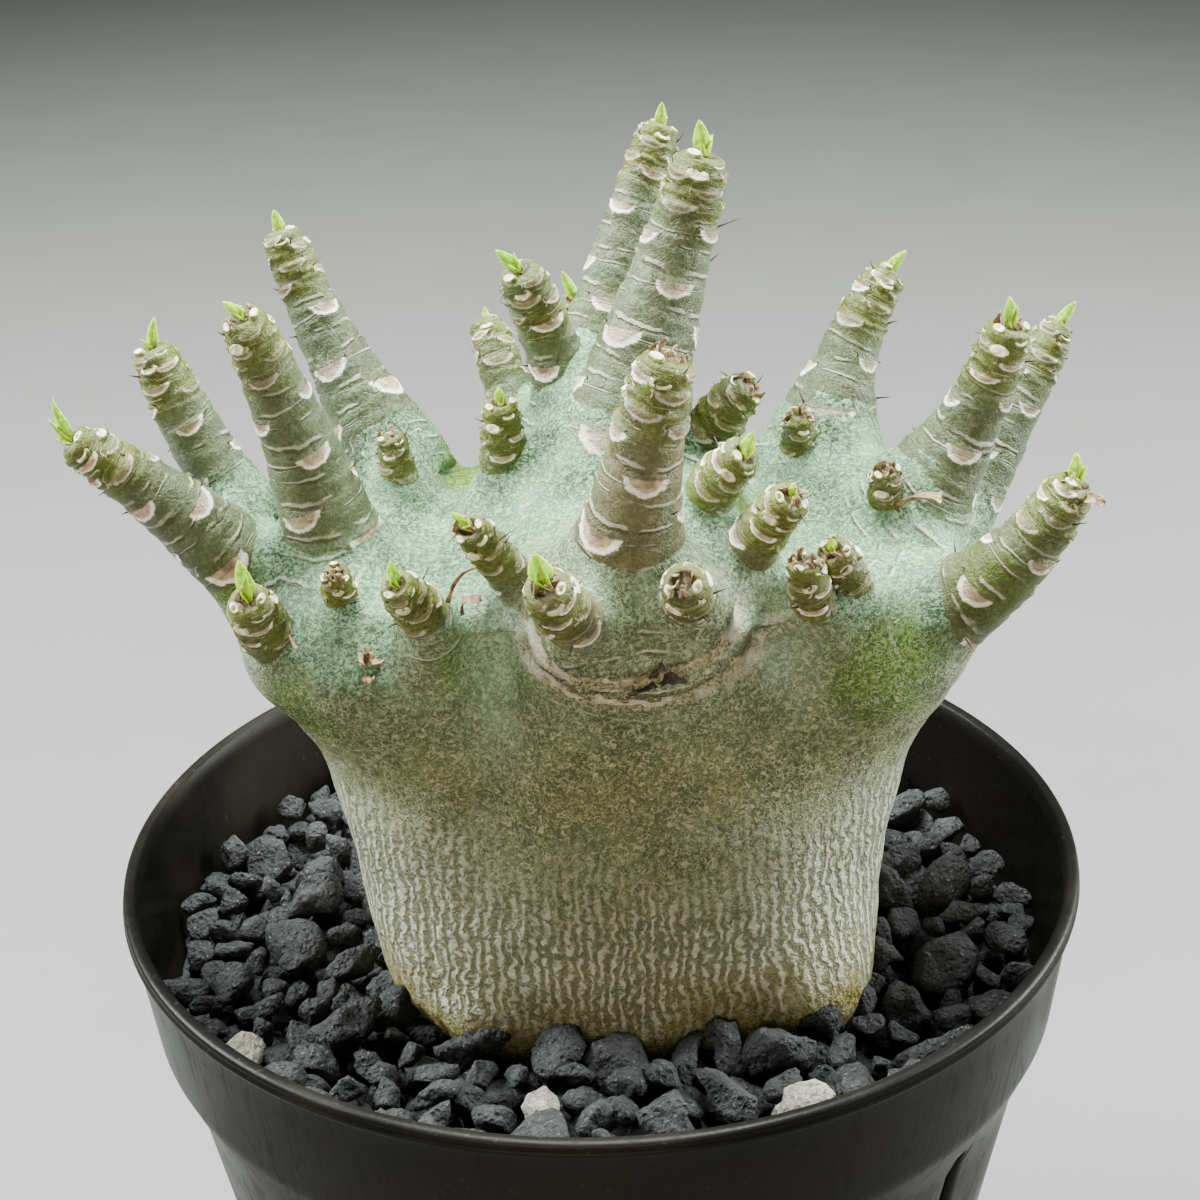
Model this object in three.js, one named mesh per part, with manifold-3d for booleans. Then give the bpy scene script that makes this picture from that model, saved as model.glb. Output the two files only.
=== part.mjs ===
// A potted desert rose: a swollen green stem base that divides into finger-like branches,
// standing in dark stone chips in a round black plastic nursery pot.
// Millimetres, +Z up, +Y away from the front, the origin in the middle of the pot's underside.

import * as THREE from 'three';
import { mergeVertices } from 'three/addons/utils/BufferGeometryUtils.js';
import Module from 'manifold-3d';

const wasm = await Module();
wasm.setup();

// Driving dimensions of the pot
const POT_HEIGHT = 125;
const RIM_RADIUS = 75;
const BAND_RADIUS = 74.2;
const BAND_LOW_RADIUS = 72;
const BAND_LOW_Z = 104;
const SHOULDER_RADIUS = 68;
const SHOULDER_Z = 94;
const FOOT_RADIUS = 51;
const WALL = 1.6;
const FLOOR_THICKNESS = 2;
const LIP_HEIGHT = 2.4;
const FLAT_COUNT = 6;
const FLAT_TURN = -13.5;
const FLAT_FOOT_INRADIUS = 48;
const FLAT_TOP_INRADIUS = 67.4;
const FLAT_TOP_Z = 91;
const SLIT_WIDTH = 2.2;
const SLIT_LOW_Z = 12;
const SLIT_HIGH_Z = 99;
const SLIT_CUT_LENGTH = 40;
const FLATS_LEAN_OUT = 20;
const FLATS_LEAN_HEIGHT = 12;
const CLEAR_ABOVE = 10;
const POT_SEGMENTS = 48;

// Driving dimensions of the chips and of the gap between pieces that touch
const GAP = 0.3;
const PALE_STONE_POCKET = 0.4;
const SOIL_Z = 107;
const CHIP_CENTRE_Z = 108;
const CHIP_COUNT = 100;
const CHIP_MIN = 3.4;
const CHIP_MAX = 6.8;
const CHIP_SPACING = 0.92;
const CHIP_SMALL_BIAS = 1.4;
const CHIP_ATTEMPTS = 9000;
const CHIP_INNER_SHARE = 0.12;
const CHIP_INTO_STEM = 0.55;
const CHIP_FROM_PALE = 3.4;
const CHIP_WIDTH_SHARE = [0.72, 0.95];
const CHIP_HEIGHT_SHARE = [0.62, 0.9];
const CHIP_LIFT = [-0.8, 1.6];
const STONE_CORNER_REACH = [0.78, 1.12];
const CHIP_SEED = 20;
const PALE_STONE_SEED = 70;
const SOIL_FILL_SIDES = 12;

// Sections of the trunk: height, centre x, centre y, half width, half depth, squareness
const TRUNK_SECTIONS = [
  [74, 5, -1, 15, 13, 2.0],
  [84, 5, -1, 25, 22, 2.1],
  [96, 5, -1, 33, 28.5, 2.4],
  [110, 4.2, -1, 39, 31, 2.8],
  [120, 3.5, 0, 40.3, 32.2, 2.7],
  [131, 3.2, 0, 41.8, 32.5, 2.4],
  [154, 3.3, 1, 47.3, 32, 2.2],
  [172, 3.5, 2, 43, 29, 2.1],
];

// Lobes of the crown: centre and half sizes
const LOBES = [
  { centre: [-31, -5, 167], size: [19, 23, 12.5] },
  { centre: [-24, 11, 164.5], size: [17, 15, 12.5] },
  { centre: [4, -8, 171], size: [22.5, 25.5, 17.5] },
  { centre: [37, -4, 165.5], size: [19.5, 23, 13] },
  { centre: [3, 5, 173], size: [17, 18, 16] },
  { centre: [38, 11, 166.5], size: [17, 15, 13] },
  { centre: [6, 20, 166], size: [33, 18, 15] },
];
const LOBE_BLEND = 12;
const FLARE_BLEND = 6;
const FLARE_SHARE = 0.2;
const BODY_CENTRE = [4, -1, 146];
const BODY_COLUMNS = 46;
const BODY_ROWS = 27;
const HOLE_CLEARANCE = 0.4;
const WALK_START = 20;
const WALK_STEPS = 60;
const WALK_SHARE = 0.5;
const WALK_END = 0.005;

// Branches: three points on the middle line, each x, y, z and radius, from root to tip
const BRANCHES = {
  far_left: [[-48, -6, 174, 6.8], [-60, -9, 189, 5], [-72, -12, 200, 2.6]],
  left_back_low: [[-52, 4, 183, 4.9], [-58, 6, 194, 4.3], [-63, 7, 207, 2.9]],
  left_tall: [[-36, -8, 178, 7.6], [-41, -10, 200, 5], [-46, -14, 218, 2.9]],
  left_back_tall: [[-29, 14, 185, 7.7], [-39, 20, 204, 4.5], [-45, 24, 219, 2.7]],
  crown_bud_left: [[-28, 4, 182, 2.9], [-28, 4, 188, 2.6], [-29, 4, 193, 2.1]],
  left_low_stub: [[-44, -14, 166, 4.8], [-46, -22, 175, 3.8], [-47, -27, 182, 2.8]],
  left_bud_small: [[-34, -18, 174, 2.8], [-35, -21, 179, 2.4], [-35, -24, 184, 1.8]],
  left_front_stub: [[-22, -26, 176, 4], [-24, -31, 182, 3.2], [-26, -35, 187, 2.3]],
  mid_left_stub: [[-9, -24, 180, 3.6], [-13, -29, 188, 2.8], [-16, -33, 194, 2.2]],
  front_leaf_stub: [[-1, -34, 179, 4.4], [-4, -40, 185, 3.8], [-6, -45, 191, 2.8]],
  front_main: [[4, -22, 176, 10.5], [7, -28, 198, 5.9], [11, -30, 216, 3.4]],
  front_facing_bud: [[13, -28, 180, 4.1], [13, -35, 184, 3.5], [12, -42, 189, 2.7]],
  mid_back_small: [[-10, 20, 188, 4.6], [-13, 24, 197, 3.4], [-15, 28, 202, 2.4]],
  mid_back: [[-1, 8, 192, 5.9], [-5, 8, 206, 4], [-9, 6, 217, 3]],
  mid_far_stub: [[2, 20, 196, 3.6], [1, 23, 202, 3], [-1, 25, 206, 2.3]],
  centre_back_tall: [[-2, 10, 187, 8.3], [5, 20, 210, 4.8], [13, 28, 232, 2.8]],
  centre_tall: [[3, -2, 189, 9.4], [12, 4, 214, 6.2], [18, 6, 233, 3.4]],
  crown_left_stub: [[-12, 0, 184, 4], [-12, -1, 193, 3.2], [-12, -2, 200, 2.3]],
  right_of_centre_back: [[16, 2, 187, 5.2], [20, 0, 196, 3.6], [24, -2, 201, 2.6]],
  green_side_stub: [[15, -10, 183, 4.2], [18, -14, 191, 3.6], [22, -18, 197, 2.5]],
  side_stub: [[20, -16, 176, 4.9], [24, -20, 186, 3.6], [28, -24, 193, 2.6]],
  crown_bud_right: [[33, 8, 178, 3.2], [32, 8, 184, 2.5], [32, 8, 189, 1.9]],
  right_back_tall: [[36, 14, 182, 10], [40, 18, 197, 4.7], [47, 22, 210, 2.8]],
  right_tall: [[47, 0, 179, 8.9], [56, 0, 194, 4.8], [61, -2, 209, 2.9]],
  right_far_back: [[57, 14, 172, 6], [67, 20, 188, 3.9], [74, 24, 200, 2.7]],
  right_low: [[43, -12, 168, 8.7], [56, -18, 176, 5.4], [67, -22, 193, 2.8]],
  right_bud: [[43, -6, 175, 3.3], [43, -6, 181, 2.5], [43, -7, 186, 1.9]],
  right_front_stub: [[37, -20, 173, 4.1], [35, -24, 181, 3.2], [33, -27, 186, 2.3]],
  right_front_dry: [[32, -24, 174, 3.4], [30, -28, 181, 2.9], [29, -30, 186, 2.3]],
  rear_left: [[-26, 22, 162, 6.4], [-32, 38, 163, 4.6], [-36, 52, 160, 2.8]],
  rear_middle_left: [[-8, 26, 163, 6.8], [-10, 44, 166, 4.8], [-13, 60, 163, 2.8]],
  rear_middle_right: [[14, 26, 164, 6], [17, 42, 165, 4.2], [18, 54, 162, 2.7]],
  rear_right: [[32, 22, 160, 6.6], [38, 38, 161, 4.6], [42, 53, 158, 2.8]],
};

// Young leaves by the branch they stand on: x, y, z of their length, and their half width.
// The length leans less than the bow away from the branch's end, so no leaf folds over itself.
const LEAVES = {
  far_left: [-2, 0, 7, 1.2],
  left_back_low: [1, 0, 5.2, 1.1],
  left_tall: [-2.5, 0, 2.8, 1.2],
  left_back_tall: [-0.8, 0, 3.8, 1.1],
  left_low_stub: [-0.8, 0, 6.2, 1.5],
  left_front_stub: [-0.7, 0, 3.9, 1.1],
  mid_left_stub: [-2.4, 0, 2.7, 1],
  front_leaf_stub: [-1.2, -1, 5.2, 1.9],
  mid_back_small: [-0.3, 1.2, 2.8, 0.9],
  mid_back: [-3.3, 0, 3.6, 1.3],
  mid_far_stub: [-2.2, 0, 5.3, 1.1],
  centre_back_tall: [0.4, 0, 4, 1.1],
  centre_tall: [-0.4, 0, 5.4, 1.6],
  crown_left_stub: [-0.3, 0, 2.8, 1],
  green_side_stub: [1.5, 0, 3.6, 1.3],
  side_stub: [0.5, 0, 2.4, 0.9],
  right_back_tall: [2.8, 0, 3.6, 1.2],
  right_tall: [-0.3, 0, 4.8, 1.2],
  right_far_back: [2.4, 0, 4, 1.2],
  right_low: [0.1, 0, 4.8, 1.4],
  right_front_stub: [-0.5, 0, 2.4, 0.9],
  rear_left: [-1, 4, 0.8, 1.1],
  rear_middle_left: [-0.8, 4, 0.8, 1.2],
  rear_middle_right: [0.3, 4, 0.5, 1.1],
  rear_right: [1.1, 4, 0.8, 1.2],
};
const LARGE_BRANCH_RADIUS = 5.5;
const LARGE_BRANCH_SIDES = 8;
const SMALL_BRANCH_SIDES = 6;
const ROOT_SINK = 8;
const REARWARD_SHARE = 0.8;
const SCAR_SPACING_LOW = 8;
const SCAR_SPACING_HIGH = 3.8;
const SCAR_LEDGE = 0.07;
const SCAR_WIDTH = 1.4;
const LEAF_THICKNESS = 0.8;
const LEAF_STATIONS = 5;
const LEAF_BOW = 0.6;
const LEAF_FOOT_PHASE = 0.25;
const LEAF_TIP_SHARE = 0.22;
const LEAF_FOLD = 0.45;

// Pale stones that lie loose among the dark chips: centre, half sizes and turn in degrees
const PALE_STONES = [
  { name: 'pale_stone_front', centre: [-10.3, -47.5, 109.2], size: [4.4, 3.6, 3.8], turn: 12 },
  { name: 'pale_stone_front_right', centre: [26.2, -51.5, 108.9], size: [4.8, 3.4, 3.6], turn: -24 },
  { name: 'pale_stone_left', centre: [-55.2, -34.6, 109.2], size: [3.9, 3.3, 3.8], turn: 50 },
];

const POT_COLOUR = 0x23201c;
const CHIP_COLOUR = 0x3a3a3e;
const PALE_STONE_COLOUR = 0x8f8a80;
const SKIN_COLOUR = 0x7f9a7a;
const LEAF_COLOUR = 0x9cc93f;

// A repeatable draw between 0 and 1
function seededDraw(seed) {
  let state = seed;
  return () => {
    state = (state * 1664525 + 1013904223) % 4294967296;
    return state / 4294967296;
  };
}

function solidOf(geometry) {
  const bare = geometry.clone();
  bare.deleteAttribute('normal');
  bare.deleteAttribute('uv');
  const merged = mergeVertices(bare, 1e-4);
  return new wasm.Manifold(new wasm.Mesh({
    numProp: 3,
    vertProperties: new Float32Array(merged.attributes.position.array),
    triVerts: new Uint32Array(merged.index.array),
  }));
}

// The largest body of a cut solid, without the loose scraps that a cut can leave
function withoutScraps(solid) {
  const bodies = solid.decompose();
  bodies.sort((a, b) => b.volume() - a.volume());
  return bodies[0];
}

function geometryOf(solid) {
  const mesh = solid.getMesh();
  const geometry = new THREE.BufferGeometry();
  geometry.setAttribute('position', new THREE.BufferAttribute(mesh.vertProperties, 3));
  geometry.setIndex(new THREE.BufferAttribute(mesh.triVerts, 1));
  geometry.computeVertexNormals();
  return geometry;
}

function namedMesh(name, geometry, color, roughness) {
  const material = new THREE.MeshStandardMaterial({ color, roughness, metalness: 0 });
  const mesh = new THREE.Mesh(geometry, material);
  mesh.name = name;
  return mesh;
}

// A turned shape about +Z from a list of radius and height, from the foot up
function turned(profile, segments, turn = 0) {
  const points = profile.map(([radius, z]) => new THREE.Vector2(radius, z));
  const geometry = new THREE.LatheGeometry(points, segments);
  geometry.rotateX(Math.PI / 2);
  geometry.rotateZ(turn);
  return geometry;
}

function middleOf(points) {
  const sum = points.reduce((total, point) => total.add(point), new THREE.Vector3());
  return sum.divideScalar(points.length);
}

// A closed skin over rings of points, with a middle point at each end
function skinOverRings(rings, firstCentre, lastCentre) {
  const sides = rings[0].length;
  const points = [...rings.flat(), firstCentre, lastCentre];
  const first = rings.length * sides;
  const last = first + 1;
  const index = [];
  for (let ring = 0; ring + 1 < rings.length; ring += 1) {
    for (let side = 0; side < sides; side += 1) {
      const next = (side + 1) % sides;
      const a = ring * sides + side;
      const b = ring * sides + next;
      index.push(a, b, b + sides, a, b + sides, a + sides);
    }
  }
  for (let side = 0; side < sides; side += 1) {
    const next = (side + 1) % sides;
    const top = (rings.length - 1) * sides;
    index.push(first, next, side);
    index.push(last, top + side, top + next);
  }
  const geometry = new THREE.BufferGeometry();
  const flat = points.flatMap((point) => [point.x, point.y, point.z]);
  geometry.setAttribute('position', new THREE.Float32BufferAttribute(flat, 3));
  geometry.setIndex(index);
  return geometry;
}

// The pot: a cone with a straighter band and a thin lip, its lower body planed to six flats

// A turned six-sided form whose flats plane the lower body and then lean clear of the band
function flatsForm(inset) {
  const corner = 1 / Math.cos(Math.PI / FLAT_COUNT);
  const profile = [
    [0, -1],
    [(FLAT_FOOT_INRADIUS - inset) * corner, -1],
    [(FLAT_TOP_INRADIUS - inset) * corner, FLAT_TOP_Z],
    [(RIM_RADIUS + FLATS_LEAN_OUT) * corner, FLAT_TOP_Z + FLATS_LEAN_HEIGHT],
    [(RIM_RADIUS + FLATS_LEAN_OUT) * corner, POT_HEIGHT + 2 * CLEAR_ABOVE],
    [0, POT_HEIGHT + 2 * CLEAR_ABOVE],
  ];
  return solidOf(turned(profile, FLAT_COUNT, THREE.MathUtils.degToRad(FLAT_TURN)));
}

function potOutside() {
  const profile = [
    [0, 0],
    [FOOT_RADIUS - 1, 0],
    [FOOT_RADIUS, 1.2],
    [SHOULDER_RADIUS, SHOULDER_Z],
    [BAND_LOW_RADIUS, BAND_LOW_Z],
    [BAND_RADIUS, POT_HEIGHT - LIP_HEIGHT],
    [RIM_RADIUS, POT_HEIGHT - LIP_HEIGHT + 0.5],
    [RIM_RADIUS, POT_HEIGHT - 0.6],
    [RIM_RADIUS - 0.6, POT_HEIGHT],
    [0, POT_HEIGHT],
  ];
  return solidOf(turned(profile, POT_SEGMENTS)).intersect(flatsForm(0));
}

// The space inside the pot, drawn in by a clearance from the walls and the floor
function potInside(clearance) {
  const inset = WALL + clearance;
  const profile = [
    [0, FLOOR_THICKNESS + clearance],
    [FOOT_RADIUS - inset, FLOOR_THICKNESS + clearance],
    [SHOULDER_RADIUS - inset, SHOULDER_Z],
    [BAND_LOW_RADIUS - inset, BAND_LOW_Z],
    [BAND_RADIUS - inset, POT_HEIGHT - LIP_HEIGHT],
    [BAND_RADIUS - inset, POT_HEIGHT + CLEAR_ABOVE],
    [0, POT_HEIGHT + CLEAR_ABOVE],
  ];
  return solidOf(turned(profile, POT_SEGMENTS)).intersect(flatsForm(inset));
}

// A narrow drainage slit beside each edge between two flats
function potSlits() {
  const height = SLIT_HIGH_Z - SLIT_LOW_Z;
  const slits = [];
  const turn = THREE.MathUtils.degToRad(FLAT_TURN);
  for (let side = 0; side < FLAT_COUNT; side += 1) {
    const slit = new THREE.BoxGeometry(SLIT_CUT_LENGTH, SLIT_WIDTH, height);
    slit.translate(SHOULDER_RADIUS - WALL, 0, SLIT_LOW_Z + height / 2);
    slit.rotateZ((side + 0.5) * 2 * Math.PI / FLAT_COUNT + turn);
    slits.push(solidOf(slit));
  }
  return slits;
}

function pot() {
  let body = potOutside().subtract(potInside(0));
  for (const slit of potSlits()) {
    body = body.subtract(slit);
  }
  return namedMesh('pot', geometryOf(body), POT_COLOUR, 0.5);
}

// The plant's form as a signed distance that is negative inside

function smoothMin(a, b, blend) {
  const overlap = Math.max(blend - Math.abs(a - b), 0) / blend;
  return Math.min(a, b) - overlap * overlap * blend / 4;
}

function mix(a, b, share) {
  return a + (b - a) * share;
}

// The trunk is a rounded rectangle in every section, its measures read between two heights
function trunkDistance(x, y, z) {
  const last = TRUNK_SECTIONS.length - 1;
  const lowZ = TRUNK_SECTIONS[0][0];
  const highZ = TRUNK_SECTIONS[last][0];
  const level = Math.min(Math.max(z, lowZ), highZ);
  let row = 0;
  while (row < last - 1 && TRUNK_SECTIONS[row + 1][0] < level) {
    row += 1;
  }
  const low = TRUNK_SECTIONS[row];
  const high = TRUNK_SECTIONS[row + 1];
  const share = (level - low[0]) / (high[0] - low[0]);
  const [, cx, cy, halfWidth, halfDepth, power] = low.map((value, i) => mix(value, high[i], share));
  const u = Math.abs((x - cx) / halfWidth);
  const v = Math.abs((y - cy) / halfDepth);
  const across = ((u ** power + v ** power) ** (1 / power) - 1) * Math.min(halfWidth, halfDepth);
  return Math.max(across, z - highZ, lowZ - z);
}

function lobeDistance(x, y, z, lobe) {
  const [cx, cy, cz] = lobe.centre;
  const [sx, sy, sz] = lobe.size;
  const near = Math.hypot((x - cx) / sx, (y - cy) / sy, (z - cz) / sz);
  const slope = Math.hypot((x - cx) / sx ** 2, (y - cy) / sy ** 2, (z - cz) / sz ** 2);
  return near * (near - 1) / Math.max(slope, 1e-6);
}

// A rounded bar from one end to the other, its radius changing evenly
function barDistance(x, y, z, start, end) {
  const along = [end[0] - start[0], end[1] - start[1], end[2] - start[2]];
  const from = [x - start[0], y - start[1], z - start[2]];
  const length2 = along[0] ** 2 + along[1] ** 2 + along[2] ** 2;
  const dot = from[0] * along[0] + from[1] * along[1] + from[2] * along[2];
  const share = Math.min(Math.max(dot / length2, 0), 1);
  const off = Math.hypot(from[0] - along[0] * share, from[1] - along[1] * share, from[2] - along[2] * share);
  return off - mix(start[3], end[3], share);
}

function bodyDistance(x, y, z) {
  let distance = trunkDistance(x, y, z);
  for (const lobe of LOBES) {
    distance = smoothMin(distance, lobeDistance(x, y, z, lobe), LOBE_BLEND);
  }
  for (const [root, middle] of Object.values(BRANCHES)) {
    const flareEnd = root.map((value, i) => mix(value, middle[i], FLARE_SHARE));
    distance = smoothMin(distance, barDistance(x, y, z, root, flareEnd), FLARE_BLEND);
  }
  return distance;
}

// A closed skin at a given distance from the form, found by walking out from its middle
function bodySkin(clearance) {
  const [cx, cy, cz] = BODY_CENTRE;
  const walkOut = (dx, dy, dz) => {
    let reach = WALK_START;
    for (let step = 0; step < WALK_STEPS; step += 1) {
      const gap = clearance - bodyDistance(cx + dx * reach, cy + dy * reach, cz + dz * reach);
      if (gap < WALK_END) {
        break;
      }
      reach += gap * WALK_SHARE;
    }
    return new THREE.Vector3(cx + dx * reach, cy + dy * reach, cz + dz * reach);
  };
  const rings = [];
  for (let row = 1; row < BODY_ROWS; row += 1) {
    const polar = Math.PI * (1 - row / BODY_ROWS);
    const ring = [];
    for (let column = 0; column < BODY_COLUMNS; column += 1) {
      const turn = 2 * Math.PI * column / BODY_COLUMNS;
      const level = Math.sin(polar);
      ring.push(walkOut(level * Math.cos(turn), level * Math.sin(turn), Math.cos(polar)));
    }
    rings.push(ring);
  }
  return skinOverRings(rings, walkOut(0, 0, -1), walkOut(0, 0, 1));
}

// The middle line of a branch, a curve with one bend that passes through its three points
function branchCurve(path) {
  const [root, middle, tip] = path.map(([x, y, z]) => new THREE.Vector3(x, y, z));
  const control = middle.clone().multiplyScalar(2).sub(root.clone().add(tip).multiplyScalar(0.5));
  return new THREE.QuadraticBezierCurve3(root, control, tip);
}

function branchRadius(path, share) {
  const [root, middle, tip] = path.map((point) => point[3]);
  return share < 0.5 ? mix(root, middle, share * 2) : mix(middle, tip, share * 2 - 1);
}

// Places along a branch, as shares of its length, where a leaf fell and left a ledge
function scarShares(length) {
  const shares = [];
  let reach = SCAR_SPACING_LOW - SCAR_WIDTH;
  while (reach < length - SCAR_WIDTH) {
    shares.push(reach / length);
    reach += mix(SCAR_SPACING_LOW, SCAR_SPACING_HIGH, reach / length);
  }
  return shares;
}

// Two directions across a branch that stay steady along it: they are taken across from +Y,
// or from +Z where the branch as a whole runs towards the rear
function crossDirections(path, along) {
  const [root, , tip] = path.map(([x, y, z]) => new THREE.Vector3(x, y, z));
  const chord = tip.sub(root).normalize();
  const reference = Math.abs(chord.y) > REARWARD_SHARE ? [0, 0, 1] : [0, 1, 0];
  const side = new THREE.Vector3(...reference).cross(along).normalize();
  const other = along.clone().cross(side).normalize();
  return [side, other];
}

// A branch is a tapering tube that widens up to each ledge and steps in above it
function branchTube(path) {
  const curve = branchCurve(path);
  const length = curve.getLength();
  const sides = path[0][3] > LARGE_BRANCH_RADIUS ? LARGE_BRANCH_SIDES : SMALL_BRANCH_SIDES;
  const stops = [[-ROOT_SINK / length, 0], [0, 0]];
  for (const share of scarShares(length)) {
    const step = SCAR_WIDTH / length;
    stops.push([share - step / 3, SCAR_LEDGE], [share + step * 2 / 3, -SCAR_LEDGE]);
  }
  stops.push([1, 0]);
  const rings = stops.map(([share, relief]) => {
    const inside = Math.max(share, 0);
    const along = curve.getTangentAt(inside);
    const centre = curve.getPointAt(inside).addScaledVector(along, (share - inside) * length);
    const radius = branchRadius(path, inside) * (1 + relief);
    const [side, other] = crossDirections(path, along);
    return Array.from({ length: sides }, (_, i) => {
      const turn = 2 * Math.PI * i / sides;
      return centre.clone()
        .addScaledVector(side, radius * Math.cos(turn))
        .addScaledVector(other, radius * Math.sin(turn));
    });
  });
  return skinOverRings(rings, middleOf(rings[0]), middleOf(rings[rings.length - 1]));
}

function caudex() {
  let body = solidOf(bodySkin(0));
  for (const path of Object.values(BRANCHES)) {
    body = body.add(solidOf(branchTube(path)));
  }
  return namedMesh('caudex', geometryOf(body), SKIN_COLOUR, 0.6);
}

// A young leaf is a folded lance blade whose flat foot sits just over the branch's end.
// Its half width goes as a sine that starts a quarter of the way in, so the foot has a width,
// its two halves rise from the midrib, and it bows outward by a parabola of its length.
function leafGeometry(path, leaf) {
  const curve = branchCurve(path);
  const tipDirection = curve.getTangentAt(1);
  const foot = curve.getPointAt(1).addScaledVector(tipDirection, GAP);
  const [lx, ly, lz, fullHalfWidth] = leaf;
  const reach = new THREE.Vector3(lx, ly, lz);
  const [side, other] = crossDirections(path, tipDirection);
  const thick = LEAF_THICKNESS / 2;
  const rings = [];
  for (let station = 0; station < LEAF_STATIONS; station += 1) {
    const share = station / (LEAF_STATIONS - 1);
    const bow = LEAF_BOW * reach.length() * share * (1 - share);
    const centre = foot.clone().addScaledVector(reach, share).addScaledVector(tipDirection, bow);
    const swell = Math.sin(Math.PI * mix(LEAF_FOOT_PHASE, 1, share));
    const half = fullHalfWidth * mix(LEAF_TIP_SHARE, 1, swell);
    const rise = half * LEAF_FOLD;
    const corner = (u, v) => centre.clone().addScaledVector(side, u).addScaledVector(other, v);
    rings.push([
      corner(half, rise + thick / 2),
      corner(0, thick),
      corner(-half, rise + thick / 2),
      corner(-half, rise - thick),
      corner(0, -thick),
      corner(half, rise - thick),
    ]);
  }
  return skinOverRings(rings, middleOf(rings[0]), middleOf(rings[rings.length - 1]));
}

function leaves() {
  return Object.entries(LEAVES).map(
    ([name, leaf]) => namedMesh(`leaf_${name}`, leafGeometry(BRANCHES[name], leaf), LEAF_COLOUR, 0.45),
  );
}

// An angular stone: a twenty-faced form with every corner pushed in or out by the draw
function stoneGeometry(size, turn, draw) {
  const bare = new THREE.IcosahedronGeometry(1, 0);
  bare.deleteAttribute('normal');
  bare.deleteAttribute('uv');
  const geometry = mergeVertices(bare, 1e-3);
  const places = geometry.attributes.position;
  for (let i = 0; i < places.count; i += 1) {
    const push = mix(...STONE_CORNER_REACH, draw());
    places.setXYZ(i, places.getX(i) * push, places.getY(i) * push, places.getZ(i) * push);
  }
  geometry.rotateY(draw() * Math.PI);
  geometry.rotateX(draw() * Math.PI);
  geometry.scale(...size);
  geometry.rotateZ(turn);
  return geometry;
}

function paleStoneGeometry(stone, growth, seed) {
  const size = stone.size.map((value) => value + growth);
  const geometry = stoneGeometry(size, THREE.MathUtils.degToRad(stone.turn), seededDraw(seed));
  geometry.translate(...stone.centre);
  return geometry;
}

// Places for chips: random spots on the ring of soil that keep their distance from each other
function chipPlaces(draw) {
  const places = [];
  const outer = BAND_LOW_RADIUS - WALL;
  for (let attempt = 0; attempt < CHIP_ATTEMPTS && places.length < CHIP_COUNT; attempt += 1) {
    const size = mix(CHIP_MIN, CHIP_MAX, draw() ** CHIP_SMALL_BIAS);
    const turn = 2 * Math.PI * draw();
    const reach = (outer - size) * Math.sqrt(mix(CHIP_INNER_SHARE, 1, draw()));
    const x = reach * Math.cos(turn);
    const y = reach * Math.sin(turn);
    const clearOfStem = trunkDistance(x, y, CHIP_CENTRE_Z) > size * CHIP_INTO_STEM;
    const clearOfChips = places.every(
      (chip) => Math.hypot(chip.x - x, chip.y - y) > (chip.size + size) * CHIP_SPACING,
    );
    const clearOfPale = PALE_STONES.every(
      ({ centre }) => Math.hypot(centre[0] - x, centre[1] - y) > size + CHIP_FROM_PALE,
    );
    if (clearOfStem && clearOfChips && clearOfPale) {
      places.push({ x, y, size });
    }
  }
  return places;
}

// The soil fills the pot up to a plane, with the top layer of chips standing out of it
function soil() {
  const draw = seededDraw(CHIP_SEED);
  const space = potInside(GAP);
  const fillRadius = RIM_RADIUS + CLEAR_ABOVE;
  const fill = new THREE.CylinderGeometry(fillRadius, fillRadius, SOIL_Z, SOIL_FILL_SIDES);
  fill.rotateX(Math.PI / 2);
  fill.translate(0, 0, SOIL_Z / 2);
  let body = solidOf(fill);
  for (const { x, y, size } of chipPlaces(draw)) {
    const width = size * mix(...CHIP_WIDTH_SHARE, draw());
    const height = size * mix(...CHIP_HEIGHT_SHARE, draw());
    const chip = stoneGeometry([size, width, height], draw() * Math.PI, draw);
    chip.translate(x, y, CHIP_CENTRE_Z + mix(...CHIP_LIFT, draw()));
    body = body.add(solidOf(chip));
  }
  body = body.intersect(space).subtract(solidOf(bodySkin(HOLE_CLEARANCE)));
  PALE_STONES.forEach((stone, i) => {
    body = body.subtract(solidOf(paleStoneGeometry(stone, PALE_STONE_POCKET, PALE_STONE_SEED + i)));
  });
  return namedMesh('gravel_soil', geometryOf(withoutScraps(body)), CHIP_COLOUR, 0.95);
}

function paleStones() {
  return PALE_STONES.map((stone, i) => {
    const geometry = paleStoneGeometry(stone, 0, PALE_STONE_SEED + i);
    return namedMesh(stone.name, geometry, PALE_STONE_COLOUR, 0.9);
  });
}

const plant = new THREE.Group();
plant.add(caudex(), ...leaves());

const planted = new THREE.Group();
planted.add(pot(), soil(), ...paleStones(), plant);

export default planted;
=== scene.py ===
# %% [markdown]
# # A potted desert rose
# The plant is one swollen grey-green stem that divides into some thirty blunt fingers, with a
# few lime leaves on their ends. It stands in dark lava chips in a round black nursery pot.
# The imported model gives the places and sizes. This lesson makes every visible surface again as
# a formula on a grid of numbers, because a grown skin with folds, scars and wrinkles is quicker
# to describe with a formula than to pull into shape by hand.

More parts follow.
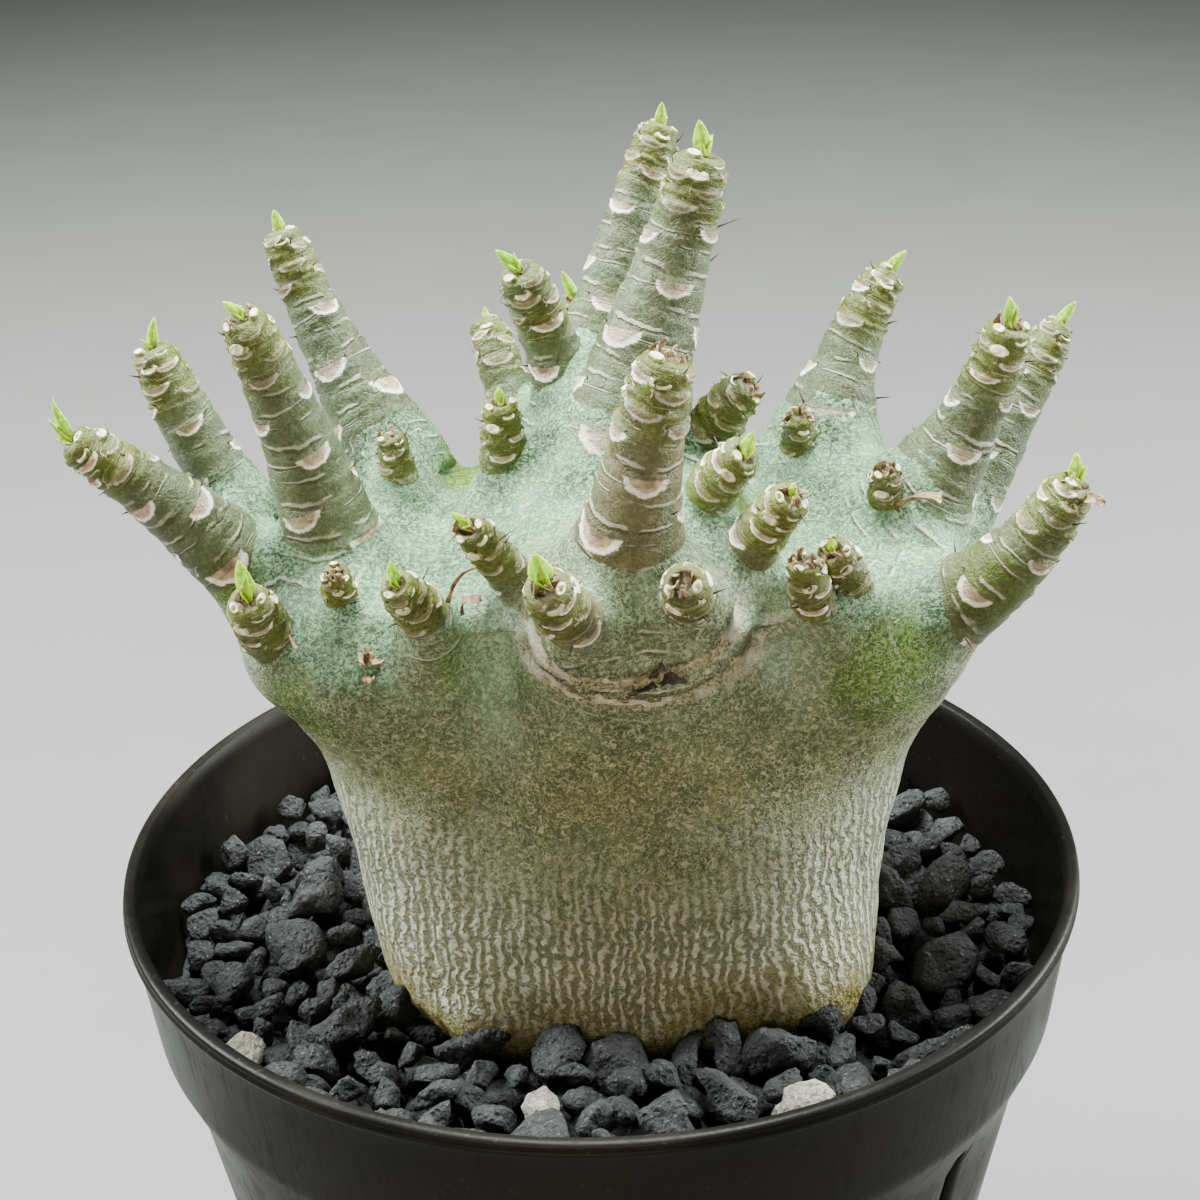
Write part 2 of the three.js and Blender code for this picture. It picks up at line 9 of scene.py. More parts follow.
# %% Load the frame
import bpy
import numpy as np
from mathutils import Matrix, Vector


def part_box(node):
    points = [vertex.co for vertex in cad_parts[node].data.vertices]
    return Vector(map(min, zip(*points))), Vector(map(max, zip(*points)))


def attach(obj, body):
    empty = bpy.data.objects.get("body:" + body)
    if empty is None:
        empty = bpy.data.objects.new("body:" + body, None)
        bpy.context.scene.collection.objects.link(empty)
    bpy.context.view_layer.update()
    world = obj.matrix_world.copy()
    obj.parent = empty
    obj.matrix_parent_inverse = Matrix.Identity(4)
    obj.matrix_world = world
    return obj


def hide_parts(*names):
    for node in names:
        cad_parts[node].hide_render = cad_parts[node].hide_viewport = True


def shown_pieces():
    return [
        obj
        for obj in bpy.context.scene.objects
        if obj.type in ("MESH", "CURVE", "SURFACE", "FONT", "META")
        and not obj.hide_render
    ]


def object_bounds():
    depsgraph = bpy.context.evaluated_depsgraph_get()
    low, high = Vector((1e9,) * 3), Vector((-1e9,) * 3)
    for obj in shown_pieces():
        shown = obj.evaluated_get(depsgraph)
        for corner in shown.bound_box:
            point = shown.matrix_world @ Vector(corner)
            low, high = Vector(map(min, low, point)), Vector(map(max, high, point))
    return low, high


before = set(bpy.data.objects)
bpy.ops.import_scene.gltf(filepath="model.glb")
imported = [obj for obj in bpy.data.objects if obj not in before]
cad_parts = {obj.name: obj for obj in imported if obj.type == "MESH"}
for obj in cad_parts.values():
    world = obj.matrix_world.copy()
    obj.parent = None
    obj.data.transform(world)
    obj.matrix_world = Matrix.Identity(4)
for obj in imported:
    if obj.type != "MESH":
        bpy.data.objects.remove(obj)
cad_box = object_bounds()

import openvdb
from mathutils import Matrix, Vector

MM = 0.001
FULL_TURN = 2 * np.pi
print("frame loaded with", len(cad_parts), "nodes")

# %% [markdown]
# ## The measures of the plant
# A plant has no drawing, so its main form is a short list of places in millimetres: sections of
# the trunk, lobes of the crown, and three points on the middle line of every finger. They are
# the values of the part's source, so the dressed model lies on the solids. Only two small buds
# on the right of the crown are a few millimetres longer here.

# %% The trunk and the crown
# Sections of the trunk: height, centre x, centre y, half width, half depth, squareness
TRUNK_SECTIONS = np.array([
    [74, 5, -1, 15, 13, 2.0],
    [84, 5, -1, 25, 22, 2.1],
    [96, 5, -1, 33, 28.5, 2.4],
    [110, 4.2, -1, 39, 31, 2.8],
    [120, 3.5, 0, 40.3, 32.2, 2.7],
    [131, 3.2, 0, 41.8, 32.5, 2.4],
    [154, 3.3, 1, 47.3, 32, 2.2],
    [172, 3.5, 2, 43, 29, 2.1],
])
# Lobes of the crown: centre and half sizes
LOBES = np.array([
    [-31, -5, 167, 19, 23, 12.5],
    [-24, 11, 164.5, 17, 15, 12.5],
    [4, -8, 171, 22.5, 25.5, 17.5],
    [37, -4, 165.5, 19.5, 23, 13],
    [3, 5, 173, 17, 18, 16],
    [38, 11, 166.5, 17, 15, 13],
    [6, 20, 166, 33, 18, 15],
])
LOBE_BLEND = 12.0
print("trunk sections", len(TRUNK_SECTIONS), "and lobes", len(LOBES))

# %% The fingers
# Three points on each finger's middle line, each x, y, z and radius, from root to tip, and how
# much of the finger is tan bark rather than green skin
FINGERS = {
    "far_left": ([[-48, -6, 174, 6.8], [-60, -9, 189, 5], [-72, -12, 200, 2.6]], 0.1),
    "left_back_low": ([[-52, 4, 183, 4.9], [-58, 6, 194, 4.3], [-63, 7, 207, 2.9]], 0.1),
    "left_tall": ([[-36, -8, 178, 7.6], [-41, -10, 200, 5], [-46, -14, 218, 2.9]], 0.15),
    "left_back_tall": ([[-29, 14, 185, 7.7], [-39, 20, 204, 4.5], [-45, 24, 219, 2.7]], 0.0),
    "crown_bud_left": ([[-28, 4, 182, 2.9], [-28, 4, 188, 2.6], [-29, 4, 193, 2.1]], 0.5),
    "left_low_stub": ([[-44, -14, 166, 4.8], [-46, -22, 175, 3.8], [-47, -27, 182, 2.8]], 0.35),
    "left_bud_small": ([[-34, -18, 174, 2.8], [-35, -21, 179, 2.4], [-35, -24, 184, 1.8]], 0.8),
    "left_front_stub": ([[-22, -26, 176, 4], [-24, -31, 182, 3.2], [-26, -35, 187, 2.3]], 0.6),
    "mid_left_stub": ([[-9, -24, 180, 3.6], [-13, -29, 188, 2.8], [-16, -33, 194, 2.2]], 0.4),
    "front_leaf_stub": ([[-1, -34, 179, 4.4], [-4, -40, 185, 3.8], [-6, -45, 191, 2.8]], 0.8),
    "front_main": ([[4, -22, 176, 10.5], [7, -28, 198, 5.9], [11, -30, 216, 3.4]], 0.55),
    "front_facing_bud": ([[13, -28, 180, 4.1], [13, -35, 184, 3.5], [12, -42, 189, 2.7]], 0.6),
    "mid_back_small": ([[-10, 20, 188, 4.6], [-13, 24, 197, 3.4], [-15, 28, 202, 2.4]], 0.1),
    "mid_back": ([[-1, 8, 192, 5.9], [-5, 8, 206, 4], [-9, 6, 217, 3]], 0.05),
    "mid_far_stub": ([[2, 20, 196, 3.6], [1, 23, 202, 3], [-1, 25, 206, 2.3]], 0.3),
    "centre_back_tall": ([[-2, 10, 187, 8.3], [5, 20, 210, 4.8], [13, 28, 232, 2.8]], 0.1),
    "centre_tall": ([[3, -2, 189, 9.4], [12, 4, 214, 6.2], [18, 6, 233, 3.4]], 0.15),
    "crown_left_stub": ([[-12, 0, 184, 4], [-12, -1, 193, 3.2], [-12, -2, 200, 2.3]], 0.1),
    "right_of_centre_back": ([[16, 2, 187, 5.2], [20, 0, 196, 3.6], [24, -2, 201, 2.6]], 0.25),
    "green_side_stub": ([[15, -10, 183, 4.2], [18, -14, 191, 3.6], [22, -18, 197, 2.5]], 0.0),
    "side_stub": ([[20, -16, 176, 4.9], [24, -20, 186, 3.6], [28, -24, 193, 2.6]], 0.5),
    "crown_bud_right": ([[33, 8, 178, 3.2], [32, 8, 186, 2.7], [32, 7, 193, 2.0]], 0.3),
    "right_back_tall": ([[36, 14, 182, 10], [40, 18, 197, 4.7], [47, 22, 210, 2.8]], 0.0),
    "right_tall": ([[47, 0, 179, 8.9], [56, 0, 194, 4.8], [61, -2, 209, 2.9]], 0.1),
    "right_far_back": ([[57, 14, 172, 6], [67, 20, 188, 3.9], [74, 24, 200, 2.7]], 0.05),
    "right_low": ([[43, -12, 168, 8.7], [56, -18, 176, 5.4], [67, -22, 193, 2.8]], 0.2),
    "right_bud": ([[43, -6, 175, 3.3], [43, -6, 183, 2.7], [43, -8, 190, 2.0]], 0.6),
    "right_front_stub": ([[37, -20, 173, 4.1], [35, -24, 181, 3.2], [33, -27, 186, 2.3]], 0.7),
    "right_front_dry": ([[32, -24, 174, 3.4], [30, -28, 181, 2.9], [29, -30, 186, 2.3]], 0.9),
    "rear_left": ([[-26, 22, 162, 6.4], [-32, 38, 163, 4.6], [-36, 52, 160, 2.8]], 0.2),
    "rear_middle_left": ([[-8, 26, 163, 6.8], [-10, 44, 166, 4.8], [-13, 60, 163, 2.8]], 0.2),
    "rear_middle_right": ([[14, 26, 164, 6], [17, 42, 165, 4.2], [18, 54, 162, 2.7]], 0.2),
    "rear_right": ([[32, 22, 160, 6.6], [38, 38, 161, 4.6], [42, 53, 158, 2.8]], 0.2),
}
print("fingers", len(FINGERS))

# %% [markdown]
# ## Helpers for every surface
# A closed tube is a grid of rows along a path and columns around it, with one point at each
# end. Blender can also skin a curve by itself, but a grid of our own lets every point carry
# numbers for the material, such as how far it is from the nearest leaf scar.

# %% Grids
def ring_turns(columns):
    """The angle of each column round a closed ring."""
    return np.linspace(0, FULL_TURN, columns, endpoint=False)


def tube_faces(rows, columns, copies=1):
    """Quads of closed tubes, and triangles that join their end rings to two end points.

    A cell joins a point to the next one around, then to the same two a row further on, which
    is counter-clockwise seen from outside. Copies are numbered on from each other.
    """
    row, side = np.meshgrid(np.arange(rows - 1), np.arange(columns), indexing="ij")
    after = (side + 1) % columns
    quads = np.stack([row * columns + side, row * columns + after,
                      (row + 1) * columns + after, (row + 1) * columns + side], axis=-1)
    side, after = side[0], after[0]
    first, top = rows * columns, (rows - 1) * columns
    start = np.stack([np.full(columns, first), after, side], axis=-1)
    end = np.stack([np.full(columns, first + 1), top + side, top + after], axis=-1)
    shift = (np.arange(copies) * (first + 2))[:, None, None]
    return ((quads.reshape(-1, 4) + shift).reshape(-1, 4),
            (np.concatenate([start, end]) + shift).reshape(-1, 3))


def with_ends(rings, ends):
    """The points of one grid, or of many, with the two points that close its ends after them."""
    ends = np.asarray(ends, dtype=float)
    return np.concatenate([rings.reshape(*ends.shape[:-2], -1, 3), ends], axis=-2)


print("a box of four sides has", len(tube_faces(2, 4)[0]), "quads")

# %% Meshes
def make_piece(name, points, faces, replaced=(), marks=None):
    """A mesh object from points in millimetres, its faces, and numbers for its material.

    The faces are written as one run of corners, with the place where each face starts.
    """
    quads, triangles = (np.asarray(part, dtype=np.int32) for part in faces)
    corners = np.concatenate([quads.ravel(), triangles.ravel()])
    sizes = np.repeat([4, 3], [len(quads), len(triangles)])
    starts = np.concatenate([[0], np.cumsum(sizes)[:-1]]).astype(np.int32)
    mesh = bpy.data.meshes.new(name)
    mesh.vertices.add(len(points))
    mesh.vertices.foreach_set("co", (np.asarray(points) * MM).astype(np.float32).ravel())
    mesh.loops.add(len(corners))
    mesh.loops.foreach_set("vertex_index", corners)
    mesh.polygons.add(len(starts))
    mesh.polygons.foreach_set("loop_start", starts)
    mesh.update(calc_edges=True)
    mesh.validate()
    mesh.shade_smooth()
    for mark, values in (marks or {}).items():
        attribute = mesh.attributes.new(mark, "FLOAT_VECTOR", "POINT")
        attribute.data.foreach_set("vector", np.asarray(values, dtype=np.float32).ravel())
    piece = bpy.data.objects.new(name, mesh)
    bpy.context.scene.collection.objects.link(piece)
    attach(piece, "root")
    if replaced:
        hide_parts(*replaced)
    return piece


def make_tubes(name, points, grid, material_slot, replaced=(), **marks):
    """One piece from like tubes, whose points and numbers come tube by tube."""
    marks = {mark: np.concatenate(values) for mark, values in marks.items()}
    return make_piece(name, np.concatenate(points), tube_faces(*grid, len(points)),
                      replaced, marks)


print("mesh helpers ready")

# %% [markdown]
# ## Noise that is the same at every run
# Nothing that grew is even, so most heights and colours below get some noise. Blender's own
# noise could be read point by point, but a formula over whole arrays is much faster, and the
# same seed gives the same plant in every run.

# %% Easing and repeatable noise
SIDE_LIMIT = cad_box[1][0] / MM - 2.0
CELL_STEPS = np.array([73856093, 19349663, 83492791])
SEED_STEP = 668265263
MIX_STEP = 1274126177
LOW_BITS = 0x7FFFFFFF
SEED_SHIFT = 7.31


def ease(low, high, value):
    """A smooth step that is 0 below low and 1 above high: 3 t squared minus 2 t cubed."""
    share = np.clip((value - low) / (high - low), 0.0, 1.0)
    return share * share * (3 - 2 * share)


def kept_inside(points):
    """Points with what reaches past the limit on the right pressed in to a third.

    The finest relief of the outermost finger then stays inside the box of the solids.
    """
    beyond = np.maximum(points[..., :1] - SIDE_LIMIT, 0)
    return points - beyond * [2 / 3, 0, 0]


def cell_corners(share):
    """Each of a cell's eight corners with its weight: the product of the shares towards it."""
    for step in np.indices((2, 2, 2)).reshape(3, 8).T[:, ::-1]:
        yield step, np.prod(np.where(step, share, 1 - share), axis=-1)


def noise(points, size, seed):
    """Smooth repeatable noise from -1 to 1 whose bumps are about size across.

    Every corner of a cubic lattice gets a number by mixing its whole-number place, and a point
    reads its eight corners, each weighted by an eased share of the way.
    """
    place = np.asarray(points) / size + seed * SEED_SHIFT
    corner = np.floor(place).astype(np.int64)
    total = np.zeros(place.shape[:-1])
    for step, weight in cell_corners(ease(0, 1, place - corner)):
        code = ((corner + step) @ CELL_STEPS + seed * SEED_STEP) & LOW_BITS
        code = ((code ^ (code >> 13)) * MIX_STEP) & LOW_BITS
        total += weight * (((code ^ (code >> 15)) & 0xFFFF) / 32767.5 - 1)
    return total


print("noise at one place", round(float(noise(np.array([[1.0, 2.0, 3.0]]), 4.0, 1)[0]), 3))

# %% [markdown]
# ## The middle line of a finger
# Each finger follows a curve with one bend that passes through its three points. Its radius
# runs straight from point to point, as a real shoot thins out year by year.

# %% Curves
LINE_STEPS = 160
REARWARD_SHARE = 0.8


def on_curve(places, share):
    """Point and direction of the curve (1-t)^2 root + 2t(1-t) bend + t^2 tip at shares t."""
    root, middle, tip = np.asarray(places, dtype=float)[:, :3]
    bend = 2 * middle - (root + tip) / 2
    share = share[:, None]
    point = (1 - share) ** 2 * root + 2 * share * (1 - share) * bend + share ** 2 * tip
    return point, (1 - share) * (bend - root) + share * (tip - bend)


def length_table(places):
    """Shares along the curve, and the length reached at each over short straight steps."""
    share = np.linspace(0, 1, LINE_STEPS)
    steps = np.linalg.norm(np.diff(on_curve(places, share)[0], axis=0), axis=1)
    return share, np.concatenate([[0], np.cumsum(steps)])


def finger_length(places):
    """Length of a finger's middle line in millimetres."""
    return length_table(places)[1][-1]


def finger_line(places, reach):
    """Middle points, directions and radii at given lengths from the root.

    Before the root the line runs on straight.
    """
    share, reached = length_table(places)
    reach = np.atleast_1d(reach)
    inside = np.clip(reach, 0, reached[-1])
    point, along = on_curve(places, np.interp(inside, reached, share))
    along /= np.linalg.norm(along, axis=1, keepdims=True)
    radius = np.asarray(places, dtype=float)[:, 3]
    return (point + along * (reach - inside)[:, None], along,
            np.interp(inside / reached[-1], [0, 0.5, 1], radius))


def finger_frame(places, reach):
    """The middle line with two directions across it that stay steady along it.

    They are taken across from +Y, or from +Z where the finger as a whole runs to the rear.
    """
    line, along, radius = finger_line(places, reach)
    chord = np.subtract(places[2][:3], places[0][:3])
    rearward = abs(chord[1]) > REARWARD_SHARE * np.linalg.norm(chord)
    side = np.cross([0.0, 0.0, 1.0] if rearward else [0.0, 1.0, 0.0], along)
    side /= np.linalg.norm(side, axis=-1, keepdims=True)
    return line, along, radius, side, np.cross(along, side)


def spun(angle, side, other):
    """Two directions turned by an angle in their own plane: outwards, and on around."""
    angle = np.asarray(angle)[..., None]
    return (np.cos(angle) * side + np.sin(angle) * other,
            np.cos(angle) * other - np.sin(angle) * side)


print("front finger is", round(finger_length(FINGERS["front_main"][0]), 1), "mm long")

# %% [markdown]
# ## The swollen stem as one form
# The trunk, the lobes of the crown and the roots of the fingers flow into each other with no
# seam. Separate meshes would meet in hard lines, and a lathe can't branch. So this one piece is
# a distance in space: every point says how far it is from the surface, negative inside, and a
# soft minimum joins two such distances with a fillet. The surface is where the distance is nil.

# %% Distances in space
def soft_min(first, second, blend):
    """The smaller of two distances, rounded where they differ by less than blend."""
    overlap = np.maximum(blend - np.abs(first - second), 0) / blend
    return np.minimum(first, second) - overlap * overlap * (blend / 4)


def trunk_distance(x, y, z):
    """The trunk is a rounded rectangle in every section, its measures read between heights.

    (|u|^p + |v|^p)^(1/p) - 1 is nil on the outline, where u and v are shares of the half sizes.
    """
    heights = TRUNK_SECTIONS[:, 0]
    level = np.clip(z, heights[0], heights[-1])
    cx, cy, half_width, half_depth, power = (
        np.interp(level, heights, measure) for measure in TRUNK_SECTIONS.T[1:])
    u = np.abs((x - cx) / half_width) + 1e-6
    v = np.abs((y - cy) / half_depth) + 1e-6
    outline = (u ** power + v ** power) ** (1 / power) - 1
    return np.maximum(outline * np.minimum(half_width, half_depth),
                      np.maximum(z - heights[-1], heights[0] - z))


def lobe_distance(x, y, z, lobe):
    """Distance to an ellipsoid: its share k of the half sizes, times k - 1, over the slope."""
    cx, cy, cz, sx, sy, sz = lobe
    near = np.sqrt(((x - cx) / sx) ** 2 + ((y - cy) / sy) ** 2 + ((z - cz) / sz) ** 2)
    slope = np.sqrt(((x - cx) / sx ** 2) ** 2 + ((y - cy) / sy ** 2) ** 2
                    + ((z - cz) / sz ** 2) ** 2)
    return near * (near - 1) / np.maximum(slope, 1e-6)


def bar_distance(x, y, z, start, end, start_radius, end_radius):
    """Distance to a rounded bar: off its middle line, less a radius that changes evenly."""
    dx, dy, dz = along = end - start
    x, y, z = x - start[0], y - start[1], z - start[2]
    share = np.clip((x * dx + y * dy + z * dz) / (along @ along), 0, 1)
    off = np.sqrt((x - share * dx) ** 2 + (y - share * dy) ** 2 + (z - share * dz) ** 2)
    return off - (start_radius + (end_radius - start_radius) * share)


print("the trunk's middle lies", trunk_distance(3.2, 0.0, 131.0).round(1), "mm from its skin")

# %% The stem's form on a lattice of points
STEM_LOW = np.array([-64.0, -41.0, 86.0])
STEM_HIGH = np.array([68.0, 60.0, 206.0])
STEM_CELL = 0.75
ROOT_SHARES = np.array([0.0, 0.12, 0.24, 0.36])
ROOT_SWELL = np.array([0.35, 0.05, -0.3, -0.9])
ROOT_FILLET = 6.5


def stem_lattice():
    """The distance at every point of a box: trunk, then lobes, then the root of each finger.

    A finger's root is a chain of bars a little thicker than the finger where it leaves the
    crown and thinner further up, so the finger comes out of a fillet. Each is worked out only
    in the part of the box that it reaches.
    """
    axes = [np.arange(low, high, STEM_CELL, dtype=np.float32)
            for low, high in zip(STEM_LOW, STEM_HIGH)]
    x, y, z = np.ix_(*axes)
    distance = trunk_distance(x, y, z).astype(np.float32)
    for lobe in LOBES:
        distance = soft_min(distance, lobe_distance(x, y, z, lobe), LOBE_BLEND)
    for places, _ in FINGERS.values():
        line, _, radius = finger_line(places, ROOT_SHARES * finger_length(places))
        radius = radius + ROOT_SWELL
        reach = radius.max() + ROOT_FILLET + 2
        near = tuple(slice(max(0, int(np.searchsorted(axis, way.min() - reach))),
                           int(np.searchsorted(axis, way.max() + reach)))
                     for way, axis in zip(line.T, axes))
        box = np.ix_(*(axis[part] for axis, part in zip(axes, near)))
        root = np.min([bar_distance(*box, line[i], line[i + 1], radius[i], radius[i + 1])
                       for i in range(len(line) - 1)], axis=0)
        distance[near] = soft_min(distance[near], root, ROOT_FILLET)
    return distance.astype(np.float32)


lattice = stem_lattice()
print("lattice of", lattice.shape, "points")

# %% The stem's skin
def read_lattice(lattice, points):
    """The lattice's value at any point, each of its eight neighbours weighted by its share."""
    place = (points - STEM_LOW) / STEM_CELL
    corner = np.clip(np.floor(place).astype(int), 0, np.array(lattice.shape) - 2)
    return sum(weight * lattice[tuple((corner + step).T)]
               for step, weight in cell_corners(place - corner))


def uphill(lattice, points):
    """The direction in which the distance grows, from its values 0.6 of a cell to each side."""
    slope = np.stack([read_lattice(lattice, points + step) - read_lattice(lattice, points - step)
                      for step in np.eye(3) * STEM_CELL * 0.6], axis=1)
    return slope / np.maximum(np.linalg.norm(slope, axis=1, keepdims=True), 1e-9)


def skin_of(lattice):
    """Quads over the places where the distance is nil, pulled twice onto the exact place."""
    grid = openvdb.FloatGrid(5.0)
    grid.copyFromArray(np.clip(lattice, -5, 5))
    points, quads = grid.convertToQuads(0.0)
    points = points.astype(float) * STEM_CELL + STEM_LOW
    for _ in range(2):
        points = points - uphill(lattice, points) * read_lattice(lattice, points)[:, None]
    return points, quads


stem_points, stem_quads = skin_of(lattice)
stem_out = uphill(lattice, stem_points)
print("stem skin of", len(stem_points), "points")

# %% [markdown]
# ## The colours of the skin
# The crown is pale mint green, the front of the trunk is olive, the foot is mossy gold, and the
# finger ends are lime. The mint is partly painted light: it is paler where the crown faces up,
# painted rim light carries it down the trunk's left and right, and painted shade thins it on the
# front middle. These zones belong to places on the plant, so they are numbers kept on every
# point, worked out by one function for the stem and the fingers alike. The colours then run over
# the joints without a step.

# %% Zones of the skin
# Round green patches: centre and reach
GREEN_PATCHES = np.array([
    [-15, -29, 170, 8.0],
    [-40, -18, 163, 9.0],
    [42, -24, 166, 10.0],
    [57, -21, 177, 7.5],
    [-53, -14, 175, 7.5],
    [20, -6, 184, 7.0],
    [-20, 14, 180, 8.0],
])
# Valleys between the lobes at the front: upper place, lower place, depth and half width
VALLEYS = [
    ([-12.5, -27, 183], [-17, -34, 150], 4.2, 4.6),
    ([23, -25, 182], [30, -33, 160], 2.6, 4.4),
    ([-28, -24, 181], [-27, -30, 172], 1.0, 3.5),
]


def valley_depth(points):
    """Millimetres that the valleys take away: a bell around each line, which fades at its top."""
    depth = np.zeros(len(points))
    for start, end, full_depth, half_width in VALLEYS:
        off = bar_distance(*points.T, np.array(start, float), np.array(end, float), 0, 0)
        depth += full_depth * np.exp(-(off / half_width) ** 2)
    return depth * ease(188, 170, points[:, 2])


def skin_zone(points):
    """How mint, how mossy and how green each place is, from 0 to 1.

    Mint rises with height. It fades towards the front middle as painted shade, and painted rim
    light carries it down the trunk's left and right. Moss fades above the foot, and green is a
    sum of round patches with ragged edges.
    """
    x, y, z = points.T
    ragged = noise(points, 9.0, 3) * 0.6 + noise(points, 3.5, 4) * 0.4
    crown = ease(152, 182, z + 7 * ragged)
    # Painted shade thins the mint on the front middle, and painted rim light adds it down the
    # sides
    front = ease(-12, -27, y) * ease(34, 12, np.abs(x - 8))
    sides = ease(26, 44, np.abs(x - 4))
    mint = crown * (1 - 0.55 * front) + 0.60 * sides * (1 - crown)
    moss = ease(127, 113, z + 6 * ragged) + 0.25 * ease(168, 152, z) * ease(140, 152, z)
    green = sum(ease(1.25, 0.35, np.linalg.norm(points - centre, axis=1) / reach + 0.35 * ragged)
                for *centre, reach in GREEN_PATCHES)
    return np.clip(np.stack([mint, moss, green], axis=1), 0, 1)


print("zones of three places\n", skin_zone(np.array([[0, -30, 140], [0, 0, 190], [0, -30, 112]])))

# %% [markdown]
# ## Folds, collars and wrinkles of the stem
# Where a finger leaves the crown the skin lies in pale crescent folds, the lower trunk has
# fine upright wrinkles, and the foot is corky. They are heights added to the smooth skin along
# its own outward direction. A bump in the material would look the same from the front, but
# the outline and the mesh itself need the real thing.

# %% Ring lines round the roots of the fingers
RING_PITCH = 2.9
GOLDEN_TURN = np.pi * (3 - np.sqrt(5))


def root_rings(points):
    """A count of rings that rises by one every pitch up a finger, and how strongly they show.

    The rings cross the finger's root with a tilt and are drawn over part of the turn only. The
    material draws a pale line and a dark one, painted shade in the ring's crease, once in every
    ring, finer than the mesh's cells.
    """
    count, shown = np.zeros((2, len(points)))
    for order, (places, _) in enumerate(FINGERS.values()):
        line, along, (radius,), side, other = finger_frame(places, 0.0)
        height, u, v = ((points - line[0]) @ way[0] for way in (along, side, other))
        swing = np.cos(np.arctan2(v, u) - order * GOLDEN_TURN)
        here = ease(1.7, 1.2, np.hypot(v, u) / radius) * ease(0.9, 0.5, np.abs(height) / radius)
        here *= ease(-0.3, 0.6, swing)
        closer = here > shown
        count = np.where(closer, (height + 0.25 * radius * swing) / RING_PITCH, count)
        shown = np.where(closer, here, shown)
    return np.stack([count, shown, np.zeros(len(points))], axis=1)


print("rings at one root", root_rings(np.array([[4.0, -33.0, 178.0]])).round(2))

# %% Relief of the stem
# Smile-shaped folds under the front finger: middle x and z, half width, and drop
FRONT_FOLDS = [(5.5, 180.5, 13.0, 7.5), (7.0, 178.0, 16.5, 9.2)]
# Bulges of the foot where thick roots leave it: centre, height and reach
ROOT_TOES = [(32, -25, 111, 3.6, 9.0), (-18, -28, 110, 1.6, 7.0), (7, -32, 109, 1.5, 7.0)]
FOLD_STEP = 1.2


def front_folds(points):
    """Step, flaky band and dark crease of the two smile-shaped folds.

    Each follows the lower half of an ellipse drawn on the front. The skin above it stands
    proud and ends at the crease, which is darkened as painted shadow under the step, and the
    band of flaky bark lies just below.
    """
    step, band, crease = np.zeros((3, len(points)))
    ragged = 0.5 * noise(points, 3.0, 12) + 0.3 * noise(points, 1.2, 13)
    for cx, cz, half_width, drop in FRONT_FOLDS:
        u = (points[:, 0] - cx) / half_width
        v = (points[:, 2] - cz) / drop
        out = (np.hypot(u, v) - 1) * drop + ragged
        drawn = ease(0.1, -0.5, v) * ease(-16, -24, points[:, 1])
        step += drawn * ease(0.5, -0.3, out) * np.exp(np.minimum(out, 0) / 3.0)
        band = np.maximum(band, drawn * np.exp(-((out - 1.5) / 1.1) ** 2))
        crease = np.maximum(crease, drawn * np.exp(-((out - 0.2) / 0.6) ** 2))
    return step, band, crease


def stem_relief(points):
    """Height in millimetres to add to the smooth stem, and its age marks: none, bark, and the
    painted shadow in the folds' crease, kept where dry skin would be.
    """
    x, y, z = points.T
    unrolled = np.stack([np.arctan2(y, x - 4) * 38, z * 0.28, np.zeros(len(points))], axis=1)
    wrinkle = 1 - np.abs(noise(unrolled, 2.1, 5) * 2)
    lower = ease(152, 128, z)
    cork = ease(117, 108, z)
    height = 0.45 * noise(points, 13.0, 7) + 0.16 * noise(points, 5.0, 8) + lower * 0.14 * wrinkle
    height += cork * (0.30 * noise(points, 2.6, 9) + 0.22 * noise(points, 1.3, 10))
    height += (1 - lower) * 0.05 * noise(points, 1.6, 11) - valley_depth(points)
    for *centre, push, reach in ROOT_TOES:
        off = np.linalg.norm(points - np.array(centre), axis=1)
        height += push * np.exp(-(off / reach) ** 2)
    step, band, crease = front_folds(points)
    # The crease goes into the dry mark as a painted shadow under the fold's step
    age = np.stack([np.zeros(len(points)), band, 0.8 * crease], axis=1)
    return height + FOLD_STEP * step, age


relief, stem_age = stem_relief(stem_points)
print("relief from", relief.min().round(2), "to", relief.max().round(2), "mm")

# %% The stem
# A count that stays close to half a ring draws one broken pale line all along each fold
flaky = stem_age[:, 1:2]
fold_line = np.hstack([np.full_like(flaky, 0.35), flaky, np.zeros_like(flaky)])
stem_rings = root_rings(stem_points)
stem_rings = np.where(flaky > stem_rings[:, 1:2], fold_line, stem_rings)
# Painted shade thins the mint where the stem faces sideways or down, so what faces up is paler,
# and the valleys' walls get a painted highlight
stem_zone = skin_zone(stem_points)
stem_zone[:, 0] *= 0.30 + 0.70 * ease(-0.35, 0.45, stem_out[:, 2])
# A painted highlight along the valleys' walls, strongest where they are deepest
valley_highlight = valley_depth(stem_points) / VALLEYS[0][2] * ease(146, 160, stem_points[:, 2])
stem = make_piece("stem_and_crown", stem_points + stem_out * relief[:, None], (stem_quads, []),
                  ("caudex",), {
                      "skin_zone": stem_zone,
                      "skin_age": stem_age,
                      "ring_line": stem_rings,
                      "leaf_scar": np.zeros_like(stem_points),
                      "valley_highlight": valley_highlight[:, None] * [1.0, 0.0, 0.0],
                  })
print("stem of", len(stem.data.polygons), "faces")

# %% [markdown]
# ## The fingers and their leaf scars
# Every leaf that fell left a half-moon scar on a little cushion, and the next one stands 137.5
# degrees further round. That one rule gives the spiral seen on the real shoots. A finger is a
# tube swept along its curve, its radius raised below each scar and drawn in above it. Each
# point also keeps where it lies on its nearest scar, so the material can draw the scar with a
# sharp edge between the points.

# %% Where the scars and the rows of points lie
ROOT_BURIED = -5.0
RING_STEP = 0.45
YOUNG_RING_STEP = 0.3
YOUNG_LENGTH = 13.0
TIP_RINGS = 10
TIP_BLUNTNESS = 3.4
TIP_DIMPLE = 0.7
SCAR_FIRST = 3.0
OLD_SCAR_STEP = 2.9
YOUNG_SCAR_STEP = 0.85


def youth(reach, length):
    """How young the skin is: 1 over the last few millimetres of a finger, 0 further down."""
    return ease(15.0, 6.0, length - reach)


